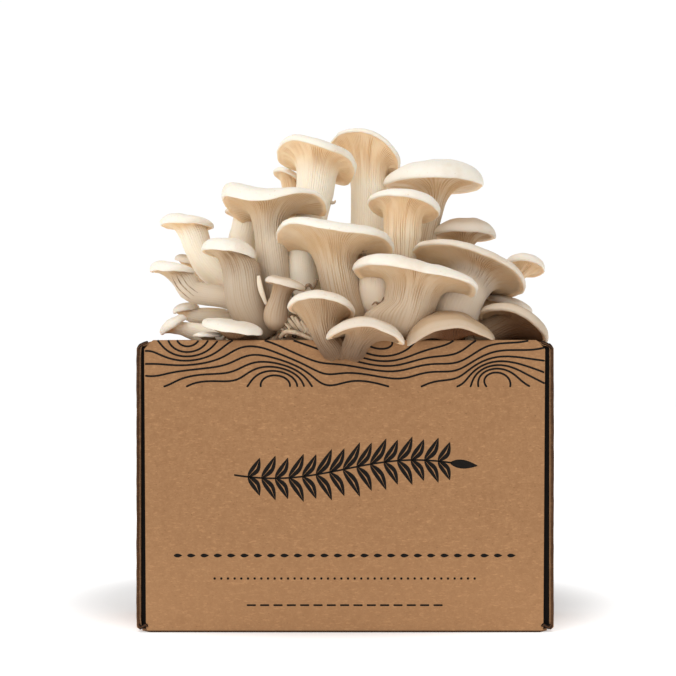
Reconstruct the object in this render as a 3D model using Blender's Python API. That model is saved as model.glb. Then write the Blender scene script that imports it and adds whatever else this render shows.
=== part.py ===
"""Oyster mushroom grow kit: a cluster of oyster mushrooms growing out of the top of a corrugated mailer box.

Metres, +Z up. The origin is the middle of the box's underside, and the lid of the box faces -Y.
Sizes are written in millimetres and multiplied by MM.
"""

import math
from dataclasses import dataclass

import bmesh
import bpy
from mathutils import Matrix, Vector
from mathutils.bvhtree import BVHTree

MM = 0.001

# Driving sizes of the box, in millimetres
BOX_WIDTH = 250.0
BOX_DEPTH = 100.0
BOX_HEIGHT = 175.5
BOARD = 1.5  # thickness of the corrugated board
GAP = 0.3  # clearance between pieces that touch
LID_SLOT = 2.1  # dark slot between the lid and each rolled side wall
LID_HALF = BOX_WIDTH / 2 - 2 * BOARD - GAP - LID_SLOT
LID_CORNER = (5.4, 4.2)  # width and height cut off the lid's top corners
FLAP_DEPTH = 62.0  # lid's side flaps, tucked inside the side walls
TUCK_DEPTH = 8.0  # what is left of the lid's tuck flap in front of the opening
TUCK_INSET = 8.0  # how far the tuck flap ends short of the lid's sides
FLAP_LOW = 12.0  # height of a side flap's lower edge
FLAP_HIGH = 161.5  # height of a side flap's upper edge
MARGIN = 2.0  # how far a cutter reaches past what it cuts
OPENING_HALF = (97.0, 41.0)  # half length and half depth of the opening torn in the top wall
OPENING_CORNER = 24.0

# Block, bag and the foot of the cluster
BAG = 0.5
BLOCK_TOP = 169.5
BLOCK_CORNER = 12.0
BAG_CUT_HALF = (90.0, 37.0)  # half length and half depth of the cut in the bag that the cluster grows through
BAG_CUT_CORNER = 22.0
BASE_TOP = 176.5
BASE_HALF = (91.0, 35.0)
BASE_MIDDLE = 3.0  # along X
BASE_POINTS = 20
PIN_MIDDLE = (-27.0, -31.0)
PIN_HALF = (14.0, 6.0)
PIN_POINTS = 10

SMALL_CAP = 16.0  # a cap of less than this half width is built with fewer points
SHARP_ANGLE = 50.0  # edges sharper than this stay sharp
WELD = 0.01  # points closer than this after a cut are made one


@dataclass
class Mushroom:
    """One fruit body, cap and stem grown as one. Lengths in millimetres, angles in degrees."""

    name: str
    cap: tuple  # middle of the rim
    size: tuple  # half width and half depth of the rim
    stem: list  # (x, y, z, radius) from the foot up to the neck
    roll: float = 0  # right side down
    pitch: float = 0  # front edge up
    turn: float = 0  # about the cap's own axis
    dome: float = 9  # height of the cap over its rim
    edge: float = 2.5  # 2 is a round profile, more is a blunter edge
    dip: float = 0  # how far the middle of the cap sinks
    peak: float = 0  # how far the dome leans to its right side
    lip: float = 1.15  # the rolled-in margin
    arch: float = 0  # sides of the rim up, front and back down
    wave: float = 0  # three waves round the rim
    wave_turn: float = 0
    flare: float = 0.5  # how far the gills run out before they turn down the stem


MUSHROOMS = [
    # Front row
    Mushroom("mushroom_front_edge", cap=(12.5, -60, 178.4), size=(23.5, 14), roll=4, pitch=14, edge=2.3,
             arch=-3.5, flare=0.4, stem=[(3, -54, 164.5, 5), (4.5, -55, 168, 7.6), (6.5, -56, 172.5, 7.6)]),
    Mushroom("mushroom_front_low", cap=(-14, -47, 194), size=(20.5, 17), roll=6, pitch=24, dome=8, edge=2.4,
             arch=-1, flare=0.3, stem=[(-4, -53, 164.5, 4.5), (-6, -53, 168.5, 7), (-10, -51, 174, 6.8),
             (-12, -49, 181, 8.4)]),
    Mushroom("mushroom_front_bulb", cap=(-36, -40, 208.5), size=(12.5, 11), roll=14, pitch=4, dome=4.5,
             stem=[(-42, -36, 182, 4), (-42, -37, 186.5, 6.9), (-41.5, -38, 192, 7.3),
             (-39.5, -39, 200, 5.6)]),
    Mushroom("mushroom_left_flat", cap=(-68, -44, 182), size=(18.5, 15), roll=9, pitch=-4, dome=5.5, edge=3,
             flare=0.3, stem=[(-60, -35, 176, 6), (-64, -40, 178.5, 6)]),
    Mushroom("mushroom_front_right", cap=(43, -40, 211.6), size=(38.5, 27), roll=10.5, pitch=15.5, edge=2.6,
             peak=-0.3, lip=1.4, wave=1, wave_turn=270, flare=0.45, stem=[(33, -35, 176, 8),
             (35, -36, 184, 12), (38, -37, 192, 14.5), (40, -37, 200, 16)]),
    Mushroom("mushroom_front_middle", cap=(-6, -24, 234.5), size=(36.5, 29), roll=8.5, pitch=20.5, dome=8.5,
             wave=2.5, wave_turn=270, flare=0.6, stem=[(4, -18, 176, 9), (4, -20, 190, 11),
             (-1, -22, 204, 12), (-4, -23, 219, 12.5)]),
    Mushroom("mushroom_right_arched", cap=(63, -46, 180), size=(27, 16), roll=-4, pitch=-8, dome=12,
             edge=2.2, peak=-0.25, arch=-6.5, flare=0.3, stem=[(64, -37, 176, 9), (64, -39, 178, 9)]),
    # Left side
    Mushroom("mushroom_left_front", cap=(-71, -24, 228), size=(17, 15), roll=9, pitch=11,
             stem=[(-49, -22, 176, 9), (-56, -23, 188, 10.6), (-61, -24, 200, 11.6),
             (-63, -24, 215, 11.3)]),
    Mushroom("mushroom_left_low", cap=(-105, -18, 184), size=(9.5, 9), roll=-34, dome=5, flare=0.3,
             stem=[(-74, -16, 176, 6), (-82, -16, 178, 6.5), (-92, -16, 180.5, 5.5),
             (-100, -17, 182.5, 4)]),
    Mushroom("mushroom_left_curved", cap=(-107, -8, 218), size=(14, 13), roll=3, pitch=5, dome=5.5,
             edge=2.8, peak=-0.3, flare=0.6, stem=[(-52, -6, 184, 7), (-62, -7, 197, 7), (-74, -8, 202, 7),
             (-86, -8, 203.5, 6.8), (-95, -8, 206, 7.5), (-99, -8, 212, 7.6)]),
    Mushroom("mushroom_left_tiny", cap=(-83, -36, 178), size=(9, 8), dome=2.5, edge=2.2, lip=0.8,
             stem=[(-76, -34, 168, 3), (-79, -35, 172, 3)]),
    # Right side
    Mushroom("mushroom_right_large", cap=(77, -8, 218.6), size=(37, 30), roll=19, pitch=24, dome=8,
             edge=2.4, stem=[(58, -12, 176, 10), (64.5, -19, 187.5, 15.6), (68, -19, 197, 16.2),
             (76, -12, 208, 13)]),
    Mushroom("mushroom_right_low", cap=(104, -18, 183), size=(23, 20), roll=26, pitch=26, dome=9.5,
             edge=2.3, lip=2.4, arch=-1, flare=0.4, stem=[(80, -12, 176, 8), (86, -12, 178, 9),
             (92, -12, 181, 9)]),
    # Tall middle
    Mushroom("mushroom_tall_left", cap=(-43, -10, 258.2), size=(33, 27), roll=2, pitch=16, dome=8.5,
             edge=2.8, dip=2.5, peak=-0.7, arch=1.5, wave=3.6, wave_turn=210, stem=[(-38, -6, 176, 7),
             (-41, -7, 200, 9), (-44, -9, 222, 10), (-46, -10, 240, 9.5)]),
    Mushroom("mushroom_upper_middle", cap=(37, -2, 257.3), size=(23, 19), roll=9, pitch=24, dome=8.5,
             peak=0.2, stem=[(32, 6, 176, 6), (34, 4, 205, 6), (36, 0, 226, 8.5), (36, -1, 240, 11.3)]),
    Mushroom("mushroom_top_left", cap=(-17.5, 15, 288), size=(26, 24), roll=18, pitch=24.5, dome=8,
             edge=2.6, arch=-1, wave=2.2, wave_turn=270, stem=[(-21, 6, 176, 5), (-23, -3, 200, 9),
             (-26.5, -3, 224, 11.4), (-21.3, 9, 250, 10), (-19, 13.5, 268, 12.2)]),
    Mushroom("mushroom_left_upper", cap=(-99, 8, 247.2), size=(17, 14), roll=3, pitch=10, dome=6.5,
             peak=-0.2, stem=[(-52, 4, 176, 6), (-62, 6, 201, 8.5), (-72, 8, 211, 9), (-84, 8, 221, 9.4),
             (-91, 8, 232, 8.8), (-94, 8, 240, 9)]),
    Mushroom("mushroom_tall_left_back", cap=(-62, 17, 253.5), size=(14, 12), roll=14, pitch=12, dome=3,
             lip=1, stem=[(-46, 14, 176, 6), (-59, 16, 210, 8.5), (-64.5, 17, 232, 9.6),
             (-62, 17, 245, 9.5)]),
    Mushroom("mushroom_left_small", cap=(-99, 4, 194), size=(8.5, 8), roll=-10, pitch=6, dome=4.5,
             flare=0.4, stem=[(-64, 6, 180, 5), (-74, 5, 188.5, 5.6), (-84, 4, 190, 5.6),
             (-92, 4, 190.5, 5)]),
    Mushroom("mushroom_left_behind", cap=(-99, 22, 225), size=(9, 8), roll=14, dome=4,
             stem=[(-58, 18, 182, 6), (-72, 20, 204, 7), (-80, 22, 213, 7), (-90, 22, 219, 6.5)]),
    Mushroom("mushroom_top_right", cap=(57, 28, 274), size=(32, 27), pitch=9, dome=15.5, edge=2.1,
             peak=0.15, stem=[(44, 24, 176, 8), (48, 27, 210, 7.5), (52.5, 28, 240, 6.4),
             (57, 28, 260, 6.6)]),
    Mushroom("mushroom_top_back", cap=(12.8, 38, 291.5), size=(24.2, 24), roll=26, pitch=42, dome=7,
             edge=2.4, stem=[(20, 22, 176, 9), (17, 28, 215, 12), (15.5, 31, 238, 12),
             (15.5, 32, 254, 11.3), (16, 34, 270, 11.5)]),
    Mushroom("mushroom_top_left_small", cap=(-37, 38, 280), size=(9.5, 8), roll=24, pitch=25, dome=4,
             stem=[(-24, 30, 176, 4), (-28, 32, 220, 4.5), (-34, 36, 266, 5)]),
    Mushroom("mushroom_right_back", cap=(76, 28, 241.8), size=(21, 16), roll=1.5, pitch=12, dome=11.5,
             edge=1.9, peak=0.15, stem=[(60, 24, 176, 7), (68, 28, 205, 6.5), (74, 29, 230, 6)]),
    Mushroom("mushroom_right_tucked", cap=(104, 12, 197), size=(15, 13), roll=18, pitch=4, dome=5,
             stem=[(76, 12, 177, 5), (86, 12, 184, 5.5), (96, 12, 190, 5)]),
    Mushroom("mushroom_right_far", cap=(114, 18, 221), size=(13, 13), roll=8, pitch=25, dome=7.5, edge=2.3,
             stem=[(78, 22, 178, 5), (88, 22, 197, 5), (103, 20, 211, 4.6)]),
    # Hidden behind the others
    Mushroom("mushroom_back_left", cap=(-46, 46, 203), size=(17, 14), roll=-4, pitch=-16, dome=7,
             stem=[(-42, 24, 176, 6), (-43, 32, 186, 6.5), (-45, 38, 194, 7)]),
    Mushroom("mushroom_back_middle", cap=(4, 50, 212), size=(17, 15), roll=5, pitch=-18, dome=7,
             stem=[(0, 22, 176, 6), (1, 30, 188, 6.5), (3, 40, 202, 7)]),
    Mushroom("mushroom_back_right", cap=(58, 47, 202), size=(17, 14), roll=8, pitch=-14, dome=7,
             stem=[(42, 22, 176, 6), (48, 32, 186, 6.5), (55, 39, 193, 7)]),
    # Remains between the stems
    Mushroom("torn_stub", cap=(20, -22, 220), size=(9, 8), dome=2, edge=3, lip=0.6, flare=0.3,
             stem=[(20, -20, 178, 5), (20, -22, 190, 6.8), (19.5, -24, 199, 9.4),
             (19.5, -24.5, 207, 10.6)]),
]

CARDBOARD = (0.41, 0.23, 0.11, 1)
CREAM = (0.86, 0.78, 0.66, 1)
MYCELIUM = (0.72, 0.64, 0.52, 1)
FILM = (0.75, 0.75, 0.72, 1)

SHAPES = bpy.data.collections.new("oyster_mushroom_grow_kit")
CUTTERS = bpy.data.collections.new("cutters")


def material(name, colour, roughness):
    made = bpy.data.materials.new(name)
    made.use_nodes = True
    shader = made.node_tree.nodes["Principled BSDF"]
    shader.inputs["Base Color"].default_value = colour
    shader.inputs["Roughness"].default_value = roughness
    shader.inputs["Metallic"].default_value = 0
    made.diffuse_color = colour
    return made


def new_object(name, bm, collection):
    """A mesh object from a bmesh in metres."""
    mesh = bpy.data.meshes.new(name)
    bm.to_mesh(mesh)
    bm.free()
    made = bpy.data.objects.new(name, mesh)
    collection.objects.link(made)
    return made


def as_cutter(made):
    made.hide_render = True
    made.display_type = "WIRE"
    return made


def block(name, low, high, collection=CUTTERS):
    """A box between two corners in millimetres."""
    bm = bmesh.new()
    bmesh.ops.create_cube(bm, size=1)
    for vert in bm.verts:
        vert.co = Vector((v + 0.5) * (b - a) + a for v, a, b in zip(vert.co, low, high)) * MM
    made = new_object(name, bm, collection)
    return as_cutter(made) if collection is CUTTERS else made


def boolean(target, tool, operation):
    step = target.modifiers.new(operation.lower(), "BOOLEAN")
    step.operation = operation
    step.solver = "EXACT"
    step.object = tool
    bpy.context.view_layer.update()
    evaluated = target.evaluated_get(bpy.context.evaluated_depsgraph_get())
    result = bpy.data.meshes.new_from_object(evaluated)
    target.modifiers.remove(step)
    target.data = result


# ---- Box ----


def rounded_outline(half, corner, steps=6):
    """Points of a rectangle with round corners, anticlockwise."""
    points = []
    for quarter, (sx, sy) in enumerate(((1, 1), (-1, 1), (-1, -1), (1, -1))):
        for i in range(steps + 1):
            angle = math.radians(90 * (quarter + i / steps))
            x = sx * (half[0] - corner) + corner * math.cos(angle)
            y = sy * (half[1] - corner) + corner * math.sin(angle)
            points.append((x, y))
    return points


def prism(name, outline, low, high, axis="Z", collection=CUTTERS):
    """A prism over an outline in millimetres, upright, or lying along Y over an outline of x and z."""
    bm = bmesh.new()
    if axis == "Z":
        corners = [(a, b, low) for a, b in outline]
        step = Vector((0, 0, high - low))
    else:
        corners = [(a, low, b) for a, b in outline]
        step = Vector((0, high - low, 0))
    face = bm.faces.new([bm.verts.new(Vector(corner) * MM) for corner in corners])
    grown = bmesh.ops.extrude_face_region(bm, geom=[face])
    for item in grown["geom"]:
        if isinstance(item, bmesh.types.BMVert):
            item.co += step * MM
    bmesh.ops.recalc_face_normals(bm, faces=bm.faces[:])
    made = new_object(name, bm, collection)
    return as_cutter(made) if collection is CUTTERS else made


def sorted_corners(a, b):
    """The lowest and the highest corner of the box that two opposite corners span."""
    return tuple(map(min, a, b)), tuple(map(max, a, b))


def make_box():
    """The folded mailer: back, top and bottom walls, rolled double side walls, and the lid with its flaps."""
    x, y, z, t = BOX_WIDTH / 2, BOX_DEPTH / 2, BOX_HEIGHT, BOARD
    front, back = -y, y
    inner = x - t - GAP  # outer face of the folded-in layer of a side wall
    walls = [
        ((-x, back - t, 0), (x, back, z)),  # back
        ((-x + t, front, 0), (x - t, back, t)),  # bottom, the hinge side of the lid
        ((-inner + t, front + t + GAP, z - t), (inner - t, back, z)),  # top
        ((-LID_HALF, front, 0), (LID_HALF, front + t, z)),  # lid
        # what is left of the tuck flap
        (
            (-LID_HALF + TUCK_INSET, front, z - 2 * t - GAP),
            (LID_HALF - TUCK_INSET, front + TUCK_DEPTH, z - t - GAP),
        ),
    ]
    for side in (-1, 1):
        walls += [
            # outer layer of the side wall, its roll along the front edge, its folded-in layer
            sorted_corners((side * x, front, 0), (side * (x - t), back, z)),
            sorted_corners((side * x, front, 0), (side * (inner - t), front + t, z)),
            sorted_corners((side * inner, front, t + GAP), (side * (inner - t), back - t - GAP, z - t - GAP)),
            # side flap of the lid
            sorted_corners(
                (side * LID_HALF, front, FLAP_LOW), (side * (LID_HALF - t), front + FLAP_DEPTH, FLAP_HIGH)
            ),
        ]
    box = block("mailer_box", *walls[0], collection=SHAPES)
    tools = [(block("wall", low, high), "UNION") for low, high in walls[1:]]
    opening = prism("opening", rounded_outline(OPENING_HALF, OPENING_CORNER), z - 2 * t - MARGIN, z + MARGIN)
    tools.append((opening, "DIFFERENCE"))
    wide, tall = LID_CORNER
    outside = LID_HALF + LID_SLOT / 2
    for side in (-1, 1):
        corner = [(LID_HALF - wide, z), (LID_HALF - wide, z + MARGIN), (outside, z + MARGIN)]
        corner += [(outside, z - tall), (LID_HALF, z - tall)]
        corner = [(side * along, height) for along, height in corner]
        tools.append((prism("lid_corner", corner, front - MARGIN, front + t + GAP / 2, "Y"), "DIFFERENCE"))
    for tool, operation in tools:
        boolean(box, tool, operation)
        bpy.data.objects.remove(tool)
    box.data.materials.clear()
    box.data.materials.append(material("kraft_board", CARDBOARD, 0.85))
    return box


# ---- Block and bag ----


def make_block():
    """The block of substrate in its film bag, which is cut open where the cluster grows through it."""
    x = LID_HALF - BOARD - 2 * GAP - BAG
    y = BOX_DEPTH / 2 - 2 * BOARD - GAP - BAG
    bottom = BOARD + 2 * GAP + BAG
    made = prism("substrate_block", rounded_outline((x, y), BLOCK_CORNER), bottom, BLOCK_TOP, collection=SHAPES)
    made.data.materials.append(material("mycelium", MYCELIUM, 0.9))
    outside = rounded_outline((x + GAP + BAG, y + GAP + BAG), BLOCK_CORNER + GAP + BAG)
    inside = rounded_outline((x + GAP, y + GAP), BLOCK_CORNER + GAP)
    cut = [(a + BASE_MIDDLE, b) for a, b in rounded_outline(BAG_CUT_HALF, BAG_CUT_CORNER)]
    bag = prism("grow_bag", outside, bottom - GAP - BAG, BLOCK_TOP + GAP + BAG, collection=SHAPES)
    boolean(bag, prism("bag_room", inside, bottom - GAP, BLOCK_TOP + GAP), "DIFFERENCE")
    boolean(bag, prism("bag_cut", cut, BLOCK_TOP, BLOCK_TOP + MARGIN), "DIFFERENCE")
    bag.data.materials.clear()
    bag.data.materials.append(material("bag_film", FILM, 0.3))


def make_base():
    """The fused foot of the cluster: an oval lump in the opening that rises to a mound behind the front stems.

    Returns the cutters that keep its neighbours clear of it.
    """
    levels = [  # height, share of the length, share of the depth, middle of the depth
        (BLOCK_TOP + GAP, 0.9, 0.9, 0),
        (BLOCK_TOP + 3, 1.0, 1.0, 0),
        (BASE_TOP, 0.95, 0.95, 0),
        (BASE_TOP + 9, 0.78, 0.66, 8),
        (BASE_TOP + 18, 0.6, 0.48, 11),
        (BASE_TOP + 25, 0.4, 0.3, 12),
    ]
    rings = []
    for height, long, deep, middle in levels:
        ring = []
        for i in range(BASE_POINTS):
            angle = 2 * math.pi * i / BASE_POINTS
            lump = 1 - 0.035 * (1 + math.sin(5 * angle + 1) * math.cos(3 * angle))
            x = BASE_HALF[0] * long * lump * superellipse(math.cos(angle))
            y = BASE_HALF[1] * deep * lump * superellipse(math.sin(angle))
            ring.append(Vector((x + BASE_MIDDLE, y + middle, height)))
        rings.append(ring)
    base = lofted("cluster_base", rings, middle_of(rings[0]), middle_of(rings[-1]) + Vector((0, 0, 2)), SHAPES)
    tongue = make_tongue()
    rooms = [swollen(base, GAP), swollen(tongue, GAP)]
    boolean(base, tongue, "UNION")
    base.data.materials.clear()
    base.data.materials.append(material("stem_base", CREAM, 0.7))
    return rooms


def make_tongue():
    """The part of the base that runs over the box's front edge to the two lowest stems."""
    sections = [  # distance along Y, half width, height
        (-24, 13, 12),
        (-38, 11, 10),
        (-45, 9, 8),
        (-48.5, 6, 5),
    ]
    rings = []
    for along, half, height in sections:
        ring = []
        for i in range(BASE_POINTS // 2):
            angle = 4 * math.pi * i / BASE_POINTS
            x = half * superellipse(math.cos(angle))
            z = BOX_HEIGHT + 2 * GAP + height / 2 * (1 + superellipse(math.sin(angle)))
            ring.append(Vector((x, along, z)))
        rings.append(ring)
    tongue = lofted("tongue", rings, middle_of(rings[0]), middle_of(rings[-1]), CUTTERS)
    return as_cutter(tongue)


def superellipse(value, power=0.75):
    return math.copysign(abs(value) ** power, value)


def middle_of(ring):
    return sum(ring, Vector()) / len(ring)


def lofted(name, rings, first, last, collection):
    """One closed body over a stack of rings in millimetres, closed at both ends over a point."""
    bm = bmesh.new()
    rows = [[bm.verts.new(point * MM) for point in ring] for ring in rings]
    count = len(rows[0])
    for upper, lower in zip(rows, rows[1:]):
        for i in range(count):
            j = (i + 1) % count
            bm.faces.new((upper[i], upper[j], lower[j], lower[i]))
    for row, point in ((rows[0], first), (rows[-1], last)):
        end = bm.verts.new(point * MM)
        for i in range(count):
            bm.faces.new((row[i], row[(i + 1) % count], end))
    bmesh.ops.recalc_face_normals(bm, faces=bm.faces[:])
    return new_object(name, bm, collection)


# ---- Mushrooms ----


def cap_matrix(m):
    """Turns the cap's own directions into the world's."""
    roll = Matrix.Rotation(math.radians(m.roll), 3, "Y")
    pitch = Matrix.Rotation(math.radians(-m.pitch), 3, "X")
    turn = Matrix.Rotation(math.radians(m.turn), 3, "Z")
    return roll @ pitch @ turn


def cap_point(m, frame, angle, share, up):
    """A point of the cap: share 0 is its middle and 1 its rim, up is the height over the rim's surface."""
    sway = m.arch * math.cos(2 * angle) + m.wave * math.cos(3 * angle - math.radians(m.wave_turn))
    up *= 1 + m.peak * share * math.cos(angle)
    flat = Vector((m.size[0] * share * math.cos(angle), m.size[1] * share * math.sin(angle), up + sway * share**2))
    return Vector(m.cap) + frame @ flat


def curve_at(points, t):
    """A smooth curve through points, t from 0 to 1. Each point is a tuple of numbers."""
    last = len(points) - 1
    i = min(int(t * last), last - 1)
    u = t * last - i
    before = points[max(i - 1, 0)]
    after = points[min(i + 2, last)]
    out = []
    for p0, p1, p2, p3 in zip(before, points[i], points[i + 1], after):
        slope_in = (p2 - p0) / 2
        slope_out = (p3 - p1) / 2
        out.append(
            (2 * u**3 - 3 * u**2 + 1) * p1
            + (u**3 - 2 * u**2 + u) * slope_in
            + (3 * u**2 - 2 * u**3) * p2
            + (u**3 - u**2) * slope_out
        )
    return out


def stem_rings(m, across, steps, around):
    """Rings from the neck down to the foot, each square to the stem, without twist."""
    rings = []
    for k in range(steps + 1):
        t = 1 - k / steps
        x, y, z, radius = curve_at(m.stem, t)
        up = stem_direction(m, t)
        across = (across - across.dot(up) * up).normalized()
        side = up.cross(across)
        ring = []
        for i in range(around):
            angle = 2 * math.pi * i / around
            ring.append(Vector((x, y, z)) + radius * (math.cos(angle) * across + math.sin(angle) * side))
        rings.append(ring)
    return rings


def stem_direction(m, t):
    ahead = Vector(curve_at(m.stem, min(t + 0.01, 1))[:3])
    behind = Vector(curve_at(m.stem, max(t - 0.01, 0))[:3])
    return (ahead - behind).normalized()


def mushroom_rings(m, around, top, funnel, steps):
    """All rings of a mushroom from the top of the cap down to the foot."""
    frame = cap_matrix(m)
    angles = [2 * math.pi * i / around for i in range(around)]
    rings = []
    for share in top:
        up = m.dome * (1 - share**m.edge) ** (1 / m.edge) - m.dip * (1 - share**2) ** 2
        rings.append([cap_point(m, frame, a, share, up) for a in angles])
    inset = m.lip / min(m.size)
    rings.append([cap_point(m, frame, a, 1, 0) for a in angles])
    rings.append([cap_point(m, frame, a, 1 - 0.7 * inset, -m.lip) for a in angles])
    stem = stem_rings(m, frame @ Vector((1, 0, 0)), steps, around)
    neck = stem[0]
    reach = (Vector(m.cap) - Vector(m.stem[-1][:3])).length
    rise = stem_direction(m, 1) * reach * 0.6
    # the gills run in from the margin on a curve that turns down into the neck
    for t in funnel:
        ring = []
        for angle, foot in zip(angles, neck):
            margin = cap_point(m, frame, angle, 1 - 2.2 * inset, -0.7 * m.lip)
            under = cap_point(m, frame, angle, 1 - m.flare, -0.3 * m.lip)
            a, b, c, d = (1 - t) ** 3, 3 * t * (1 - t) ** 2, 3 * t**2 * (1 - t), t**3
            ring.append(a * margin + b * under + c * (foot + rise) + d * foot)
        rings.append(ring)
    return rings + stem


def mushroom_object(m):
    if m.size[0] < SMALL_CAP:
        rings = mushroom_rings(m, around=10, top=(0.7,), funnel=(0.5,), steps=4)
    else:
        rings = mushroom_rings(m, around=12, top=(0.5, 0.86), funnel=(0.35, 0.7), steps=4)
    crown = cap_point(m, cap_matrix(m), 0, 0, m.dome - m.dip)
    return lofted(m.name, rings, crown, middle_of(rings[-1]), SHAPES)


def swollen(made, by):
    """A copy whose surface stands out by a clearance, for cutting the neighbours back."""
    bm = bmesh.new()
    bm.from_mesh(made.data)
    bm.normal_update()
    moves = [vert.normal.copy() for vert in bm.verts]
    for vert, move in zip(bm.verts, moves):
        vert.co += move * by * MM
    return as_cutter(new_object(made.name + "_room", bm, CUTTERS))


def tree_of(made):
    bm = bmesh.new()
    bm.from_mesh(made.data)
    tree = BVHTree.FromBMesh(bm)
    bm.free()
    return tree


def keep_largest(made):
    """Drops the crumbs that a cut leaves."""
    bm = bmesh.new()
    bm.from_mesh(made.data)
    bmesh.ops.remove_doubles(bm, verts=bm.verts[:], dist=WELD * MM)
    left = set(bm.faces)
    islands = []
    while left:
        todo = [left.pop()]
        island = set(todo)
        while todo:
            for edge in todo.pop().edges:
                for face in edge.link_faces:
                    if face in left:
                        left.discard(face)
                        island.add(face)
                        todo.append(face)
        islands.append(island)
    islands.sort(key=lambda faces: sum(face.calc_area() for face in faces))
    crumbs = [face for island in islands[:-1] for face in island]
    bmesh.ops.delete(bm, geom=crumbs, context="FACES")
    loose = [vert for vert in bm.verts if not vert.link_faces]
    bmesh.ops.delete(bm, geom=loose, context="VERTS")
    bm.to_mesh(made.data)
    bm.free()


def make_pins():
    """The tangle of aborted pins at the front of the base, as one low mound."""
    levels = [(BOX_HEIGHT + GAP, 1.0), (BASE_TOP + 5, 0.9), (BASE_TOP + 9, 0.5)]  # height, share of the size
    rings = []
    for height, share in levels:
        ring = []
        for i in range(PIN_POINTS):
            angle = 2 * math.pi * i / PIN_POINTS
            x = PIN_MIDDLE[0] + PIN_HALF[0] * share * math.cos(angle)
            y = PIN_MIDDLE[1] + PIN_HALF[1] * share * math.sin(angle)
            ring.append(Vector((x, y, height)))
        rings.append(ring)
    return lofted("pin_tangle", rings, middle_of(rings[0]), middle_of(rings[-1]) + Vector((0, 0, 1)), SHAPES)


def make_mushrooms(base_rooms):
    """Front ones stay whole, and each further one is cut back from the earlier ones it leans on."""
    flesh = material("mushroom_flesh", CREAM, 0.55)
    below = block("box_room", (-BOX_WIDTH, -BOX_DEPTH / 2 - GAP, -MARGIN), (BOX_WIDTH, BOX_WIDTH, BOX_HEIGHT + GAP))
    done = [(tree_of(room), room) for room in base_rooms]
    bodies = [mushroom_object(m) for m in MUSHROOMS] + [make_pins()]
    for made in bodies:
        boolean(made, below, "DIFFERENCE")
        tree = tree_of(made)
        for other_tree, room in done:
            if tree.overlap(other_tree):
                boolean(made, room, "DIFFERENCE")
        keep_largest(made)
        made.data.materials.clear()
        made.data.materials.append(flesh.copy())
        made.data.shade_smooth()
        made.data.set_sharp_from_angle(angle=math.radians(SHARP_ANGLE))
        room = swollen(made, GAP)
        done.append((tree_of(room), room))


def make_kit():
    for old in list(bpy.data.objects):
        bpy.data.objects.remove(old)
    bpy.context.scene.collection.children.link(SHAPES)
    bpy.context.scene.collection.children.link(CUTTERS)
    make_box()
    make_block()
    make_mushrooms(make_base())


make_kit()
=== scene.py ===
"""Looks of the oyster mushroom grow kit, built round its CAD frame.

Sizes are in millimetres on the CAD's own axes, and are multiplied by MM where a mesh is made. Every mushroom
repeats the sizes that the CAD gives it, but for one thinner margin, with many more points, gills and flutes.
"""

import math
from dataclasses import dataclass

import bpy
import numpy as np
from mathutils import Matrix, Vector
from mathutils.bvhtree import BVHTree


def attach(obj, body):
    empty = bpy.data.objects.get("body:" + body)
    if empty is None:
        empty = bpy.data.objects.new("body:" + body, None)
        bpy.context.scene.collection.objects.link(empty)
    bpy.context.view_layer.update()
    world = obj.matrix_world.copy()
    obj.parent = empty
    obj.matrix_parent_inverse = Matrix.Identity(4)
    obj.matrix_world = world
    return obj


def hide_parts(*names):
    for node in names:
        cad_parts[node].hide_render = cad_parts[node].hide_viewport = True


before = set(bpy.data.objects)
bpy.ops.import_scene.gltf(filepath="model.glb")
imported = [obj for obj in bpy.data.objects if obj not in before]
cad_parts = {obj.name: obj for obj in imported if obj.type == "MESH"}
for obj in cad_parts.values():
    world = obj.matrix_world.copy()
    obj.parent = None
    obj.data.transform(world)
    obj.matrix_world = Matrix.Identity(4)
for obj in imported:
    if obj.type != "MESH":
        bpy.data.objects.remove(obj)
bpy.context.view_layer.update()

MM = 0.001
TURN = 2 * math.pi

# Box, in millimetres
HALF_WIDTH = 125.0
HALF_WIDTH_RIGHT = 125.6  # the right side wall bulges a little
HALF_DEPTH = 50.0
BOX_HEIGHT = 175.5
BOARD = 1.5
LID_HALF = 119.6  # the lid halfway up
LID_LOW_HALF = 119.2  # the lid widens a little from its bottom to its top
LID_HIGH_HALF = 120.3
LID_CORNER = (5.4, 4.2)  # width and height cut off the lid's top corners
SHEET_HALF = 122.2  # the sheet behind the lid, and the top wall
TOP_BACK = 48.4  # back and front edge of the top wall
TOP_FRONT = -47.2
SIDE_BOARD = 2.6  # a side wall, two layers thick
OPENING_HALF = (97.0, 41.0)
OPENING_CORNER = 24.0
BLOCK_TOP = 169.5
BLOCK_HALF = (116.3, 46.0)
BLOCK_CORNER = 12
BAG_HALF = (117.4, 46.9)
BAG_CORNER = 12.6
BAG_OPENING_HALF = (90.0, 37.0)
BAG_OPENING_CORNER = 22
FILM = 0.25  # thickness of the bag's film
SHOULDER = 173.2  # height of the box over its side walls, where the top bends down

# Print on the lid, in millimetres
BAND_BOTTOM = 147.6  # the band of wood grain goes from here to the lid's top edge
SPRIG_HEIGHT = 98
LEAF_WIDTH = 5.4
LEAF_ROW = 46.2  # heights of the three rules
DOT_ROW = 32.4
DASH_ROW = 16.4
DOT_RADIUS = 0.75
GRAIN_WIDTH = 1.2  # of its lines
LINE_WIDTH = 1.1
INK_LIFT = 0.03  # how far the print is before the lid

# Camera: the photograph's viewpoint, and millimetres a pixel on the lid
EYE = (-4.0, -1300.0, 176.7)
IMAGE_SIZE = 676
LID_SCALE = 0.6

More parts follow.
